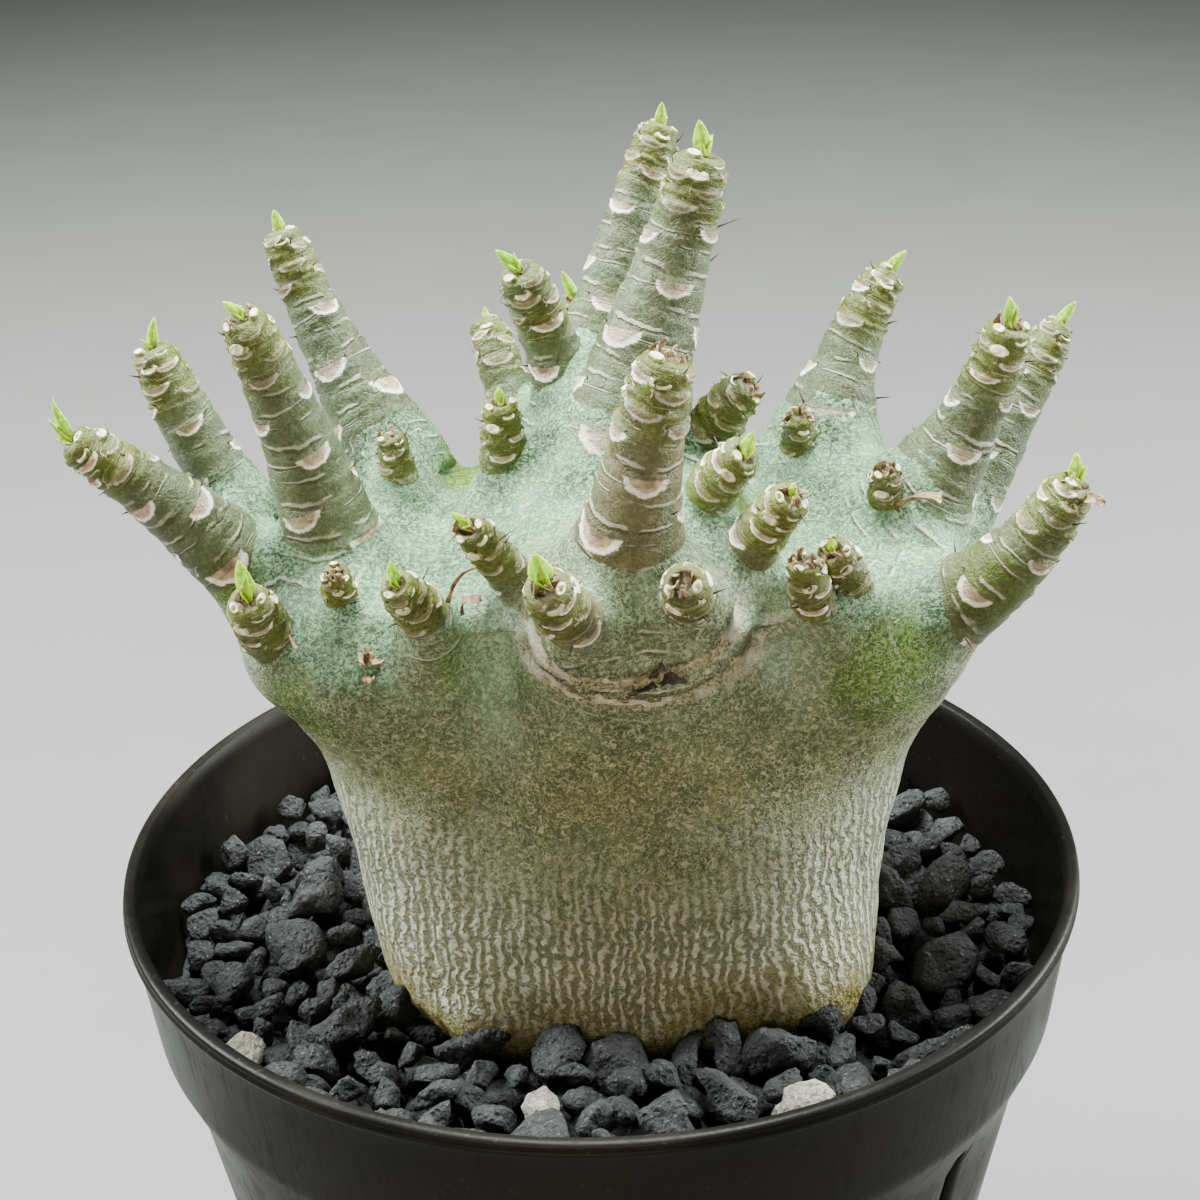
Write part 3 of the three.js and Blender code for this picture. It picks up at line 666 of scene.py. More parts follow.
def scar_places(length, order):
    """Length along the finger and turn around it for every scar.

    The scars crowd near the tip, because the youngest part hasn't stretched yet.
    """
    reach, places = SCAR_FIRST, []
    while reach < length - 0.5:
        turn = order * 1.7 + len(places) * GOLDEN_TURN
        places.append((reach, (turn + np.pi) % FULL_TURN - np.pi))
        reach += OLD_SCAR_STEP + (YOUNG_SCAR_STEP - OLD_SCAR_STEP) * youth(reach, length)
    return np.array(places)


def ring_places(length, tip_radius):
    """Lengths of the rings and their share of the full radius, with a blunt, dimpled end.

    The end is a quarter of the curve |x|^p + |y|^p = 1, and its middle sinks in.
    """
    young = max(length - YOUNG_LENGTH, 0.0)
    straight = np.concatenate([np.arange(-1.0, young, RING_STEP),
                               np.arange(young, length - tip_radius, YOUNG_RING_STEP)])
    quarter = np.linspace(0, np.pi / 2, TIP_RINGS + 1)[:-1]
    swell = np.cos(quarter) ** (2 / TIP_BLUNTNESS)
    closing = length - tip_radius + tip_radius * np.sin(quarter) ** (2 / TIP_BLUNTNESS)
    closing -= TIP_DIMPLE * ease(0.75, 0.3, swell)
    reach = np.concatenate([[ROOT_BURIED, -3.0], straight, closing])
    return reach, np.concatenate([np.ones(len(straight) + 2), swell])


print("scars on a finger of 40 mm", len(scar_places(40.0, 0)))

# %% Cushions, scars and rings
SCAR_REACH = 1.3


def cushions(reach, turn, radius, scars, length):
    """Relief of a finger in millimetres, and each point's place on its nearest scar.

    Around a scar, u is the distance across it and v along it, both as shares of its half width
    and its height, with v nil on its flat upper edge. The cushion is a bell in u that rises
    gently below the scar and drops at once above it, where a narrow groove runs across.
    """
    relief = np.zeros(radius.shape)
    nearest = np.full(radius.shape, 9.0)
    place = np.zeros(radius.shape + (3,))
    for number, (scar_reach, scar_turn) in enumerate(scars):
        young = youth(scar_reach, length)
        here = np.interp(scar_reach, reach[:, 0], radius[:, 0])
        sway = np.sin(number * 2.3 + length)
        half_width = here * (0.60 + 0.06 * young + 0.08 * sway)
        height = half_width * (0.80 - 0.22 * young)
        u = ((turn - scar_turn + np.pi) % FULL_TURN - np.pi) * radius / half_width
        v = (reach - scar_reach) / height + 0.16 * sway * u
        rise = np.exp(-(v / np.where(v < 0, 1.2, 0.25)) ** 2)
        push = here * (0.055 + 0.125 * young) * ease(-1.0, 4.0, scar_reach)
        groove = (0.08 + 0.16 * young) * np.exp(-((v - 0.2) / 0.14) ** 2 - (u / 1.7) ** 2)
        moon = ease(1.08, 0.92, np.hypot(u, v)) * ease(0.06, -0.06, v)
        rim = np.exp(-((np.hypot(u, v) - 1.03) / 0.12) ** 2) * ease(0.1, -0.05, v)
        relief += push * np.exp(-(u / 1.45) ** 2) * rise - groove - 0.10 * moon + 0.10 * rim
        far = np.maximum(np.abs(u), np.abs(v + 0.45) * 1.2)
        valid = ease(SCAR_REACH + 0.15, SCAR_REACH - 0.05, far) * (0.8 + 0.2 * sway)
        valid *= 1 - 0.7 * young * (number % 3 > 0)
        marks = np.stack([np.clip(u, -2, 2), np.clip(v, -2, 2), valid], axis=-1)
        place = np.where((far < nearest)[..., None], marks, place)
        nearest = np.minimum(nearest, far)
    return relief, place


def ring_count(reach, turn, scars):
    """A count of rings that passes a whole number at each scar, dipping on the scar's side.

    Every ring rises away from its scar by a share of the step to the next, and between two
    rings the count runs evenly.
    """
    dip = 1 - np.cos(turn[:, None] - scars[None, :, 1])
    steps = np.diff(scars[:, 0], append=scars[-1, 0] + YOUNG_SCAR_STEP)
    rings = np.maximum.accumulate(scars[None, :, 0] + 0.33 * dip * steps[None, :], axis=1)
    number = np.arange(len(scars))
    return np.stack([np.interp(reach, ring, number, left=-0.5) for ring in rings], axis=1)


count = ring_count(np.array([10.0]), np.zeros(1), scar_places(40.0, 0))
print("rings over the first 10 mm of a finger", count.round(1))

# %% The fingers' skin
COLUMN_WIDTH = 0.52
FEWEST_COLUMNS, MOST_COLUMNS = 34, 96


def finger_form(places, bark, order):
    """Points, faces, marks and scars of one finger: its line plus radius times a turning way."""
    length = finger_length(places)
    reach, swell = ring_places(length, places[2][3] * 0.7)
    line, _, radius, side, other = finger_frame(places, reach)
    columns = int(np.clip(FULL_TURN * places[0][3] / COLUMN_WIDTH, FEWEST_COLUMNS, MOST_COLUMNS))
    turn = ring_turns(columns)
    scars = scar_places(length, order)
    full = np.broadcast_to(radius[:, None], (len(reach), columns))
    relief, scar_place = cushions(reach[:, None], turn[None, :], full, scars, length)
    count = ring_count(reach, turn, scars)
    young = youth(reach, length)[:, None]
    share = np.clip(reach / length, 0, 1)[:, None]
    out, _ = spun(turn[None], side[:, None], other[:, None])
    smooth = line[:, None] + out * full[..., None]
    wobble = 0.20 * noise(smooth, 6.0, 20) * (1 - 0.5 * share) + 0.08 * noise(smooth, 1.4, 21)
    relief = relief + (0.16 + 0.10 * young) * ((count % 1) ** 2 - 0.3)
    size = (full + relief * ease(-0.5, 2.5, reach)[:, None] + wobble) * swell[:, None]
    ends = np.stack([line[0], finger_line(places, length - TIP_DIMPLE)[0][0]])
    lime = young * (0.75 + 0.5 * noise(smooth, 3.0, 22))
    tan = bark * (0.75 + 0.5 * noise(smooth, 4.0, 23)) * ease(0.0, 0.35, share)
    scaly = 0.5 * bark * young * ease(0.1, 0.5, noise(smooth, 2.0, 24))
    dry = ease(0.85, 0.5, swell)[:, None] + scaly
    age = np.clip(np.stack([lime, tan, dry], axis=-1), 0, 1)
    away = ease(-1.0, 9.0, reach)[:, None]
    rings = np.stack(np.broadcast_arrays(count, 0.8 - 0.6 * young, away), axis=-1)
    zone = skin_zone(with_ends(smooth, ends))
    # Mint fades up each finger: partly the finger's own olive colour, partly painted shade on its
    # front
    zone[:-2, 0] *= np.repeat(1 - 0.60 * away[:, 0], columns)
    marks = {
        "skin_zone": zone,
        "skin_age": with_ends(age, [[0, 0, 0], [1, 0, 1]]),
        "ring_line": with_ends(rings, np.zeros((2, 3))),
        "leaf_scar": with_ends(scar_place, np.zeros((2, 3))),
    }
    points = with_ends(line[:, None] + out * size[..., None], ends)
    return points, tube_faces(len(reach), columns), marks, scars


finger_scars = {}
for order, (name, (places, bark)) in enumerate(FINGERS.items()):
    points, faces, marks, finger_scars[name] = finger_form(places, bark, order)
    make_piece("finger_" + name, kept_inside(points), faces, (), marks)
print("scars", sum(len(scars) for scars in finger_scars.values()))

# %% [markdown]
# ## The stubs of fallen leaves
# Round the end of every finger stand the short stubs of the last leaves that fell, each with a
# pale cut face. They are what makes an end look like a small crown and not like a thimble. One
# stub is an oval peg of five rings, and a list of feet and directions places them all.

# %% Leaf stubs
STUB_COLUMNS = 14
# Rings of one stub from its buried foot to the middle of its cut face: height and width
STUB_RINGS = np.array([[-0.9, 1.0], [0.35, 1.12], [0.80, 1.05], [0.95, 0.86], [0.84, 0.45]])
STUBS_PER_END = 7
STUB_HEIGHT = 0.85


def stub_feet(places, order):
    """Feet, directions and sizes of the stubs of one finger, on a spiral like its scars'.

    The lowest stub points outwards most, and each later one stands steeper and nearer the end.
    """
    number = np.arange(STUBS_PER_END)
    share = number / (STUBS_PER_END - 1)
    reach = finger_length(places) - 3.4 + 2.9 * share
    line, along, radius, side, other = finger_frame(places, reach)
    out, around = spun(order * 2.1 + number * GOLDEN_TURN, side, other)
    steep = np.radians(28 + 40 * share)[:, None]
    way = out * np.cos(steep) + along * np.sin(steep)
    foot = line + out * (radius * (0.92 - 0.30 * share))[:, None]
    return foot, way, around, radius * (0.42 - 0.08 * share)


def stub_points(feet, ways, around, sizes):
    """Oval rings of every stub, wider around the finger than they are thick."""
    thin = 0.6 * np.cross(ways, around)
    oval = spun(ring_turns(STUB_COLUMNS), around[:, None], thin[:, None])[0]
    oval = (oval * sizes[:, None, None])[:, None]
    height, width = STUB_RINGS.T[:, None, :, None, None]
    rings = feet[:, None, None] + ways[:, None, None] * height * STUB_HEIGHT + oval * width
    rings = rings + 0.10 * noise(rings, 0.9, 26)[..., None] * oval
    return with_ends(rings, np.stack([feet - ways, feet + ways * 0.68], axis=1))


stubs = [np.concatenate(column) for column in
         zip(*(stub_feet(places, order) for order, (places, _) in enumerate(FINGERS.values())))]
face_mark = np.append(np.repeat([0.0, 0.0, 0.25, 1.0, 1.0], STUB_COLUMNS), [0.0, 1.0])
face_mark = face_mark[:, None] * [1.0, 0.0, 0.0]
points = stub_points(*stubs)
make_tubes("leaf_stubs", kept_inside(points), (len(STUB_RINGS), STUB_COLUMNS), "plant_skin",
           cut_face=[face_mark] * len(points))
print("leaf stubs", len(points))

# %% [markdown]
# ## The young leaves
# The end of a finger opens one leaf a few millimetres long, with two smaller ones beside it. A
# leaf is a blade folded along its midrib and bowed, widest a third of the way up. A flat plane
# with a leaf picture would vanish from the side, so each is a thin closed form, ring after ring.

# %% Leaf places
# x, y, z of each leaf's length in millimetres, and its half width
LEAVES = {
    "far_left": [-2, 0, 7, 1.2],
    "left_back_low": [1, 0, 5.2, 1.1],
    "left_tall": [-2.5, 0, 2.8, 1.2],
    "left_back_tall": [-0.8, 0, 3.8, 1.1],
    "left_low_stub": [-0.8, 0, 6.2, 1.5],
    "left_front_stub": [-0.7, 0, 3.9, 1.1],
    "mid_left_stub": [-2.4, 0, 2.7, 1],
    "front_leaf_stub": [-1.2, -1, 5.2, 1.9],
    "mid_back_small": [-0.3, 1.2, 2.8, 0.9],
    "mid_back": [-3.3, 0, 3.6, 1.3],
    "mid_far_stub": [-2.2, 0, 5.3, 1.1],
    "centre_back_tall": [0.4, 0, 4, 1.1],
    "centre_tall": [-0.4, 0, 5.4, 1.6],
    "crown_left_stub": [-0.3, 0, 2.8, 1],
    "green_side_stub": [1.5, 0, 3.6, 1.3],
    "side_stub": [0.5, 0, 2.4, 0.9],
    "right_back_tall": [2.8, 0, 3.6, 1.2],
    "right_tall": [-0.3, 0, 4.8, 1.2],
    "right_far_back": [2.4, 0, 4, 1.2],
    "right_low": [0.1, 0, 4.8, 1.4],
    "right_front_stub": [-0.5, 0, 2.4, 0.9],
    "rear_left": [-1, 4, 0.8, 1.1],
    "rear_middle_left": [-0.8, 4, 0.8, 1.2],
    "rear_middle_right": [0.3, 4, 0.5, 1.1],
    "rear_right": [1.1, 4, 0.8, 1.2],
}
LEAF_GRID = (15, 16)
LEAF_THICKNESS = 0.34
LEAF_SINK = 0.9
LEAF_STRETCH = 1.02
BUD_SHARES = (0.62, 0.42)
print("leaves", len(LEAVES))

# %% Leaves
def leaf_form(places, reach, half_width, spin, bow):
    """One leaf: rings along a bowed line, each a thin lens folded upwards at the midrib.

    The half width grows fast from the foot and runs out to a point. Across, the blade rises by
    a share of its distance from the midrib, and its thickness goes as the root of 1 - u^2.
    """
    foot, tip_way, _, side, other = (
        part[0] for part in finger_frame(places, finger_length(places) - LEAF_SINK))
    turned, lifted = spun(spin, side, other)
    rows, columns = LEAF_GRID
    share = np.linspace(0, 1, rows)[:, None]
    middle = foot + reach * share
    middle += tip_way * (bow * np.linalg.norm(reach) * share * (1 - share))
    width = half_width * (0.45 + 0.55 * ease(-0.1, 0.30, share)) * (1 - share ** 1.5) ** 0.9
    turn = ring_turns(columns)[None, :]
    u = np.cos(turn)
    thick = LEAF_THICKNESS * np.sin(turn) * (0.35 + 0.65 * (1 - u * u)) * (1.1 - share)
    rise = 0.5 * np.abs(u) * width * (1 - 0.4 * share) - 0.12 * np.exp(-(u / 0.18) ** 2)
    wave = 0.06 * np.sin(9 * share * np.pi) * u * u
    ring = (middle[:, None] + turned * (u * width)[..., None]
            + lifted * (rise + thick + wave)[..., None])
    marks = np.stack(np.broadcast_arrays(u, share, np.sign(np.sin(turn))), axis=-1)
    return with_ends(ring, [foot, foot + reach]), with_ends(marks, [[0, 0, 0], [0, 1, 0]])


leaf_parts = []
for order, (name, (*reach, half_width)) in enumerate(LEAVES.items()):
    places, reach = FINGERS[name][0], np.array(reach, dtype=float)
    leaf_parts.append(leaf_form(places, reach * LEAF_STRETCH, half_width, 0.0, 0.5))
    _, tip_way, _, side, other = (
        part[0] for part in finger_frame(places, finger_length(places)))
    for number, bud_share in enumerate(BUD_SHARES):
        sway = noise(np.array([[order * 3.1, number * 5.7, 0.5]]), 1.0, 31)[0]
        size = bud_share * np.linalg.norm(reach) * (1 + 0.25 * sway)
        spin = np.pi * (0.8 + 0.75 * number) + 0.5 * sway
        bud = (tip_way - 0.35 * spun(spin, side, other)[1]) * size
        leaf_parts.append(leaf_form(places, bud, half_width * 0.7, spin, 0.3))
points, marks = zip(*leaf_parts)
make_tubes("young_leaves", points, LEAF_GRID, "young_leaf",
           ["leaf_" + name for name in LEAVES], leaf_place=marks)
print("leaves and opening buds", len(leaf_parts))

# %% [markdown]
# ## Bristles and dried scraps
# Dark bristles stay at the corners of most scars, and some ends carry dry brown scales and
# curled strips. They are what makes the real shoots look rough from a step away. Each bristle
# has only a few faces, since there are hundreds of them.

# %% Bristles
BRISTLE_SIDES = 4
BRISTLE_ROWS = np.array([0.0, 0.45, 0.95])
BRISTLE_RADII = 0.17 * np.array([1.0, 0.75, 0.3])
BRISTLES_KEPT = 0.72


def bristle_roots(places, scars):
    """Foot and direction of two bristles at the upper corners of every scar but the lowest."""
    scars = scars[scars[:, 0] > 0.22 * finger_length(places)]
    line, along, radius, side, other = finger_frame(places, scars[:, 0] - 0.1)
    feet, ways = [], []
    for corner in (-1, 1):
        out, away = spun(scars[:, 1] + corner * 0.60, side, other)
        feet.append(line + out * (radius[:, None] - 0.15))
        ways.append(out * 0.8 + along * 0.55 + away * corner * 0.45)
    feet, ways = np.concatenate(feet), np.concatenate(ways)
    return feet, ways / np.linalg.norm(ways, axis=1, keepdims=True)


def bristles(feet, ways, draw):
    """Tapering four-sided spikes that curl by a share of their length squared."""
    count = len(feet)
    size = draw.uniform(0.5, 1.6, count)[:, None, None]
    curl = draw.normal(0, 0.5, (count, 1, 3))
    share = BRISTLE_ROWS[None, :, None]
    line = feet[:, None] + ways[:, None] * size * share + curl * size * share ** 2
    side = np.cross(ways, [0.3, 0.2, 1.0])
    side /= np.linalg.norm(side, axis=1, keepdims=True)
    other = np.cross(ways, side)
    ring = spun(ring_turns(BRISTLE_SIDES), side[:, None], other[:, None])[0]
    points = line[:, :, None] + ring[:, None] * BRISTLE_RADII[None, :, None, None]
    return with_ends(points, np.stack([feet, line[:, -1] + 0.1 * ways], axis=1))


draw = np.random.default_rng(11)
roots = [bristle_roots(FINGERS[name][0], scars) for name, scars in finger_scars.items()]
spikes = bristles(*(np.concatenate(column) for column in zip(*roots)), draw)
spikes = spikes[draw.random(len(spikes)) < BRISTLES_KEPT]
make_tubes("bristles", kept_inside(spikes), (len(BRISTLE_ROWS), BRISTLE_SIDES), "plant_skin")
print("bristles", len(spikes))

# %% Places of the dried scraps
# Single scraps: root, length as x, y, z, half width at the root and at the end, and turn
DRY_SCRAPS = {
    "left_curled_stalk": ([-19.6, -27.6, 180.4], [5.2, -2.6, 6.4], 0.35, 0.6, 0.3),
    "left_short_stalk": ([-17.6, -27.6, 178.6], [2.6, -3.2, 3.6], 0.4, 0.6, 1.1),
    "left_tuft_a": ([-31, -26.6, 171], [-0.6, -3.4, 1.8], 1.3, 0.5, 0.8),
    "left_tuft_b": ([-29.8, -26.8, 171.4], [0.8, -3.0, 1.6], 1.1, 0.4, 2.0),
    "left_tuft_c": ([-31.6, -27, 170], [1.2, -3.2, 0.6], 1.0, 0.4, 2.9),
    "left_tuft_d": ([-30.4, -26.8, 172.2], [-0.4, -2.0, 2.2], 1.0, 0.3, 1.2),
    "right_flap": ([44.2, -8.4, 183.4], [6.2, -1.6, 2.0], 0.9, 1.2, 0.6),
    "right_low_flap": ([67.4, -24, 190.6], [2.6, -1.4, 0.2], 1.1, 0.6, 1.4),
    "front_black_scar_a": ([8.8, -34.8, 171.4], [0.8, -3.0, 2.4], 1.5, 0.5, 0.6),
    "front_black_scar_b": ([9.4, -34.6, 171.4], [3.0, -2.2, 0.6], 1.3, 0.4, 2.1),
    "front_black_scar_c": ([7.8, -35.0, 171.2], [-3.2, -2.2, -0.6], 1.2, 0.4, 1.4),
    "low_stub_strip": ([-43.6, -21, 174.4], [2.4, -4.2, -1.6], 0.8, 0.4, 1.2),
}
# Ends that carry a crown of dry bud scales, and how many
DRY_ENDS = {
    "front_main": 7, "mid_far_stub": 5, "side_stub": 5, "right_front_dry": 7, "left_bud_small": 6,
    "front_leaf_stub": 4, "right_of_centre_back": 6, "crown_bud_right": 4, "right_bud": 5,
    "crown_bud_left": 4, "front_facing_bud": 6, "right_front_stub": 4, "left_low_stub": 3,
    "right_tall": 3, "left_tall": 3, "mid_left_stub": 3, "right_low": 4,
}
print("ends with dry scales", len(DRY_ENDS))

# %% Dried scraps
SCRAP_GRID = (12, 10)
SCRAP_THICKNESS = 0.12
SCRAP_BOW = 0.22


def scrap_form(root, reach, start_width, end_width, spin, black=0.0):
    """A dry strip along a bowed line, rolled in at its edges and turning as it goes."""
    root, reach = np.array(root, dtype=float), np.array(reach, dtype=float)
    middle = root + reach / 2 + np.cross(reach, [np.cos(spin), np.sin(spin), 0.3]) * SCRAP_BOW
    widths = (start_width, (start_width + end_width) / 2, end_width)
    places = np.column_stack([(root, middle, root + reach), widths])
    rows, columns = SCRAP_GRID
    share = np.linspace(0, 1, rows)
    line, along, width, side, other = finger_frame(
        places, np.linspace(0, finger_length(places), rows))
    turned, lifted = spun(spin + 1.3 * share, side, other)
    turn = ring_turns(columns)[None, :]
    u = np.cos(turn)
    ragged = 1 + 0.22 * np.sin(17 * share + spin * 5)[:, None]
    rise = 0.55 * u * u * width[:, None] + SCRAP_THICKNESS * np.sin(turn)
    ring = (line[:, None] + turned[:, None] * (u * width[:, None] * ragged)[..., None]
            + lifted[:, None] * rise[..., None])
    marks = np.append(np.repeat(share, columns), [0, 1])[:, None] * [1.0, 0.0, 0.0]
    return (with_ends(ring, [line[0], line[-1] + 0.3 * along[-1]]),
            marks + [0.0, black, 0.0])


def end_scales(name, order, draw):
    """Scales that stand in a ring inside the end of a finger and lean in over its middle."""
    places = FINGERS[name][0]
    end, along, radius, side, other = (
        part[0] for part in finger_frame(places, finger_length(places) - 1.0))
    for number in range(DRY_ENDS[name]):
        turn = order + number * GOLDEN_TURN
        out = spun(turn, side, other)[0]
        root = end + out * radius * draw.uniform(0.45, 0.8)
        reach = along * draw.uniform(1.3, 2.4) + out * draw.uniform(-0.9, 0.5)
        yield scrap_form(root, reach, draw.uniform(0.6, 1.0), 0.25, turn + draw.uniform(-0.4, 0.4))


draw = np.random.default_rng(17)
parts = [scrap_form(*scrap, black=float("black" in name)) for name, scrap in DRY_SCRAPS.items()]
for order, name in enumerate(DRY_ENDS):
    parts.extend(end_scales(name, order, draw))
points, marks = zip(*parts)
make_tubes("dried_scraps", points, SCRAP_GRID, "plant_skin", scrap_place=marks)
print("dried scraps", len(parts))

# %% [markdown]
# ## The lava chips
# Lava gravel is crushed, so each chip is a lump with a dozen blunt faces and small pits. A
# sphere with noise looks like a potato. A rounded polyhedron is better: for each direction the
# reach is set by the faces that it points at, and a high power keeps the edges crisp.

# %% Stones
CHIP_FACETS = 12
CHIP_POWER = 22.0
PIT_DEPTH = 0.28
LUMP_DEPTH = 0.85


def turned_about(spin, lean_x, lean_y):
    """A turn about Z, then a small lean about X and about Y."""
    return np.array(Matrix.Rotation(lean_y, 3, "Y") @ Matrix.Rotation(lean_x, 3, "X")
                    @ Matrix.Rotation(spin, 3, "Z"))


def stone_forms(centres, sizes, rows, columns, draw):
    """Stones as grids over a sphere of directions, rows from the lower pole up.

    The reach in a direction is the sum of (direction . facet normal / facet distance)^p over
    the facets that it points at, to the power -1/p. It is stretched, turned, and pitted.
    """
    count = len(centres)
    tilt = np.linspace(0, np.pi, rows + 2)[1:-1, None]
    turn = ring_turns(columns)[None, :]
    ring = np.stack(np.broadcast_arrays(np.sin(tilt) * np.cos(turn), np.sin(tilt) * np.sin(turn),
                                        -np.cos(tilt)), axis=-1)
    way = with_ends(ring, [[0, 0, -1], [0, 0, 1]])
    facing = draw.normal(size=(count, CHIP_FACETS, 3))
    facing /= np.linalg.norm(facing, axis=2, keepdims=True)
    far = draw.uniform(0.58, 1.0, (count, CHIP_FACETS, 1))
    toward = np.maximum(np.einsum("cfk,dk->cfd", facing, way) / far, 1e-3)
    reach = np.minimum(np.sum(toward ** CHIP_POWER, axis=1) ** (-1 / CHIP_POWER), 1.30)
    stretch = draw.uniform([0.9, 0.65, 0.55], [1.25, 0.95, 0.88], (count, 3))
    local = way[None] * reach[..., None] * stretch[:, None] * sizes[:, None, None]
    spin = draw.uniform(0, FULL_TURN, count)
    lean = draw.normal(0, 0.45, (count, 2))
    shapes = np.stack([turned_about(spin[i], *lean[i]) for i in range(count)])
    local = np.einsum("cij,cdj->cdi", shapes, local)
    outward = local / np.linalg.norm(local, axis=2, keepdims=True)
    points = local + centres[:, None]
    lumps = 0.4 - np.abs(noise(points, 3.4, 41)) * 1.6
    rough = LUMP_DEPTH * lumps + PIT_DEPTH * noise(points, 1.2, 42)
    return points + outward * (rough * np.minimum(sizes / 5, 1)[:, None])[..., None]


print("facets on a chip", CHIP_FACETS)

# %% [markdown]
# ## Scattering the chips
# Poured gravel lies close but never runs into itself. It could be dropped in a simulation, yet
# a seeded draw that turns down every spot too near an earlier chip is quick and always gives
# the same bed. A plainer layer below closes the gaps, and three loose stones are pale pumice.

# %% Where the chips lie
POT_INNER_RADIUS = 70.4
# Two layers: name, count, smallest and largest size, height, its spread, spacing and grid
CHIP_LAYERS = [
    ("top_chips", 230, (2.6, 6.4), 107.6, (-0.6, 1.9), 0.80, (13, 20)),
    ("lower_chips", 190, (3.6, 5.2), 102.6, (0.0, 1.6), 0.74, (7, 11)),
]
# Pale stones: centre and size
PALE_STONES = {
    "pale_stone_front": ([-10.3, -47.5, 109.2], 4.4),
    "pale_stone_front_right": ([26.2, -51.5, 108.9], 4.8),
    "pale_stone_left": ([-55.2, -34.6, 109.2], 3.9),
}
PALE_GRID = (18, 26)
TRIES_PER_CHIP = 120


def chip_places(count, sizes, middle_z, spread_z, spacing, draw):
    """Centres and sizes by a seeded draw that keeps each chip clear of those before it.

    A spot counts if it is inside the wall, not far inside the stem, and its distance from
    every earlier chip is more than a share of their two sizes.
    """
    places, half = np.empty((0, 3)), np.empty(0)
    pale = np.array([centre for centre, _ in PALE_STONES.values()])
    for _ in range(count * TRIES_PER_CHIP):
        if len(places) == count:
            break
        size = sizes[0] + (sizes[1] - sizes[0]) * draw.random() ** 1.7
        turn = draw.uniform(0, FULL_TURN)
        reach = (POT_INNER_RADIUS - 0.92 * size) * np.sqrt(draw.uniform(0.12, 1.0))
        place = np.array([reach * np.cos(turn), reach * np.sin(turn),
                          middle_z + draw.uniform(*spread_z) + 0.15 * size])
        clear_of_chips = np.all(np.linalg.norm(places - place, axis=1) > spacing * (half + size))
        clear_of_pale = np.all(np.linalg.norm(pale - place, axis=1) > size + 3.0)
        if trunk_distance(*place) > 0.35 * size and clear_of_chips and clear_of_pale:
            places, half = np.vstack([places, place]), np.append(half, size)
    return places, half


draw = np.random.default_rng(5)
chips = [chip_places(*layer[1:6], draw) for layer in CHIP_LAYERS]
for (name, *_, grid), spots in zip(CHIP_LAYERS, chips):
    make_tubes(name, stone_forms(*spots, *grid, draw), grid, "dark_gravel", ("gravel_soil",))
    print(name, len(spots[1]))
for name, (centre, size) in PALE_STONES.items():
    draw = np.random.default_rng(sum(ord(letter) for letter in name))
    points = stone_forms(np.array([centre]), np.array([size]), *PALE_GRID, draw)
    make_tubes(name + "_rough", points, PALE_GRID, "pale_stone", (name,))

# %% [markdown]
# ## The nursery pot
# The pot is moulded in one piece: a cone with six flat panels, a narrow slit in the rib between
# each two panels, a straighter band above and a rolled lip. A lathe can't make flats or slits.
# So the profile is a list of rows, the columns keep to the edges of each slit, and the wall is
# left open there, with a band of narrow faces that closes the cut.

# %% The pot's profile
_, pot_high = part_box("pot")
POT_HEIGHT = pot_high.z / MM
RIM_RADIUS = pot_high.x / MM
WALL = 1.6
FLOOR_THICKNESS = 2.0
PANELS = 6
PANEL_WIDTH = FULL_TURN / PANELS
PANEL_TURN = np.radians(-13.5)
PANEL_COLUMNS = 26
SLIT_WIDTH = 2.2
CONE_HEIGHTS, CONE_RADII = [1.2, 94.0, 104.0, 122.6], [51.0, 68.0, 72.0, 74.2]
FLAT_HEIGHTS, FLAT_INRADII = [-1.0, 91.0, 103.0], [48.0, 67.4, 95.0]
FLAT_EDGE = 0.9
SLIT_LEVELS = np.linspace(12.0, 99.0, 20)
WALL_LEVELS = np.concatenate([[1.2, 3.0, 7.0], SLIT_LEVELS,
                              [100.3, 101.6, 102.8, 104.0, 105.4, 109.0, 114.0, 119.0, 121.8]])
# The rolled lip: height below the rim and how far inside the full rim radius each row lies
LIP_ROWS = [[2.5, 0.72], [2.25, 0.25], [1.85, 0.02], [1.45, 0.06], [1.15, 0.32], [0.85, 0.2],
            [0.45, 0.26], [0.15, 0.55], [0.0, 1.1], [0.06, 1.8], [0.35, 2.25]]
# The foot outside and the floor's edge inside: height and inset
FOOT_ROWS = [[0.0, 1.3], [0.15, 0.6], [0.6, 0.12]]
FLOOR_ROWS = [[4.0, 0.0], [2.7, 0.5], [2.0, 1.6]]


def wall_radius(z, turn, inset):
    """Radius of the wall: the smaller of the cone and the flat panels, less an inset.

    A panel's flat is its inner radius over the cosine of the angle from its middle.
    """
    off = (turn - PANEL_TURN + PANEL_WIDTH / 2) % PANEL_WIDTH - PANEL_WIDTH / 2
    flat = np.interp(z, FLAT_HEIGHTS, FLAT_INRADII) / np.cos(off)
    return soft_min(np.interp(z, CONE_HEIGHTS, CONE_RADII), flat, FLAT_EDGE) - inset


def pot_rows():
    """Every row from the foot up, over the lip and down inside: height, inset, and 0.

    A row of the lip has its own radius in place of the inset, and 1.
    """
    outer = [(z, inset, 0) for z, inset in FOOT_ROWS] + [(z, 0, 0) for z in WALL_LEVELS]
    lip = [(POT_HEIGHT - drop, RIM_RADIUS - inset, 1) for drop, inset in LIP_ROWS]
    inner = [(z, WALL, 0) for z in WALL_LEVELS[::-1] if z > FLOOR_ROWS[0][0]]
    floor = [(z, WALL + inset, 0) for z, inset in FLOOR_ROWS]
    return np.array(outer + lip + inner + floor, dtype=float)


rows = pot_rows()
print("rows of the pot", len(rows))

# %% The pot's wall
def around(radius, turn, height):
    """Points at a radius and a turn about the pot's axis."""
    return np.stack(np.broadcast_arrays(radius * np.cos(turn), radius * np.sin(turn), height),
                    axis=-1)


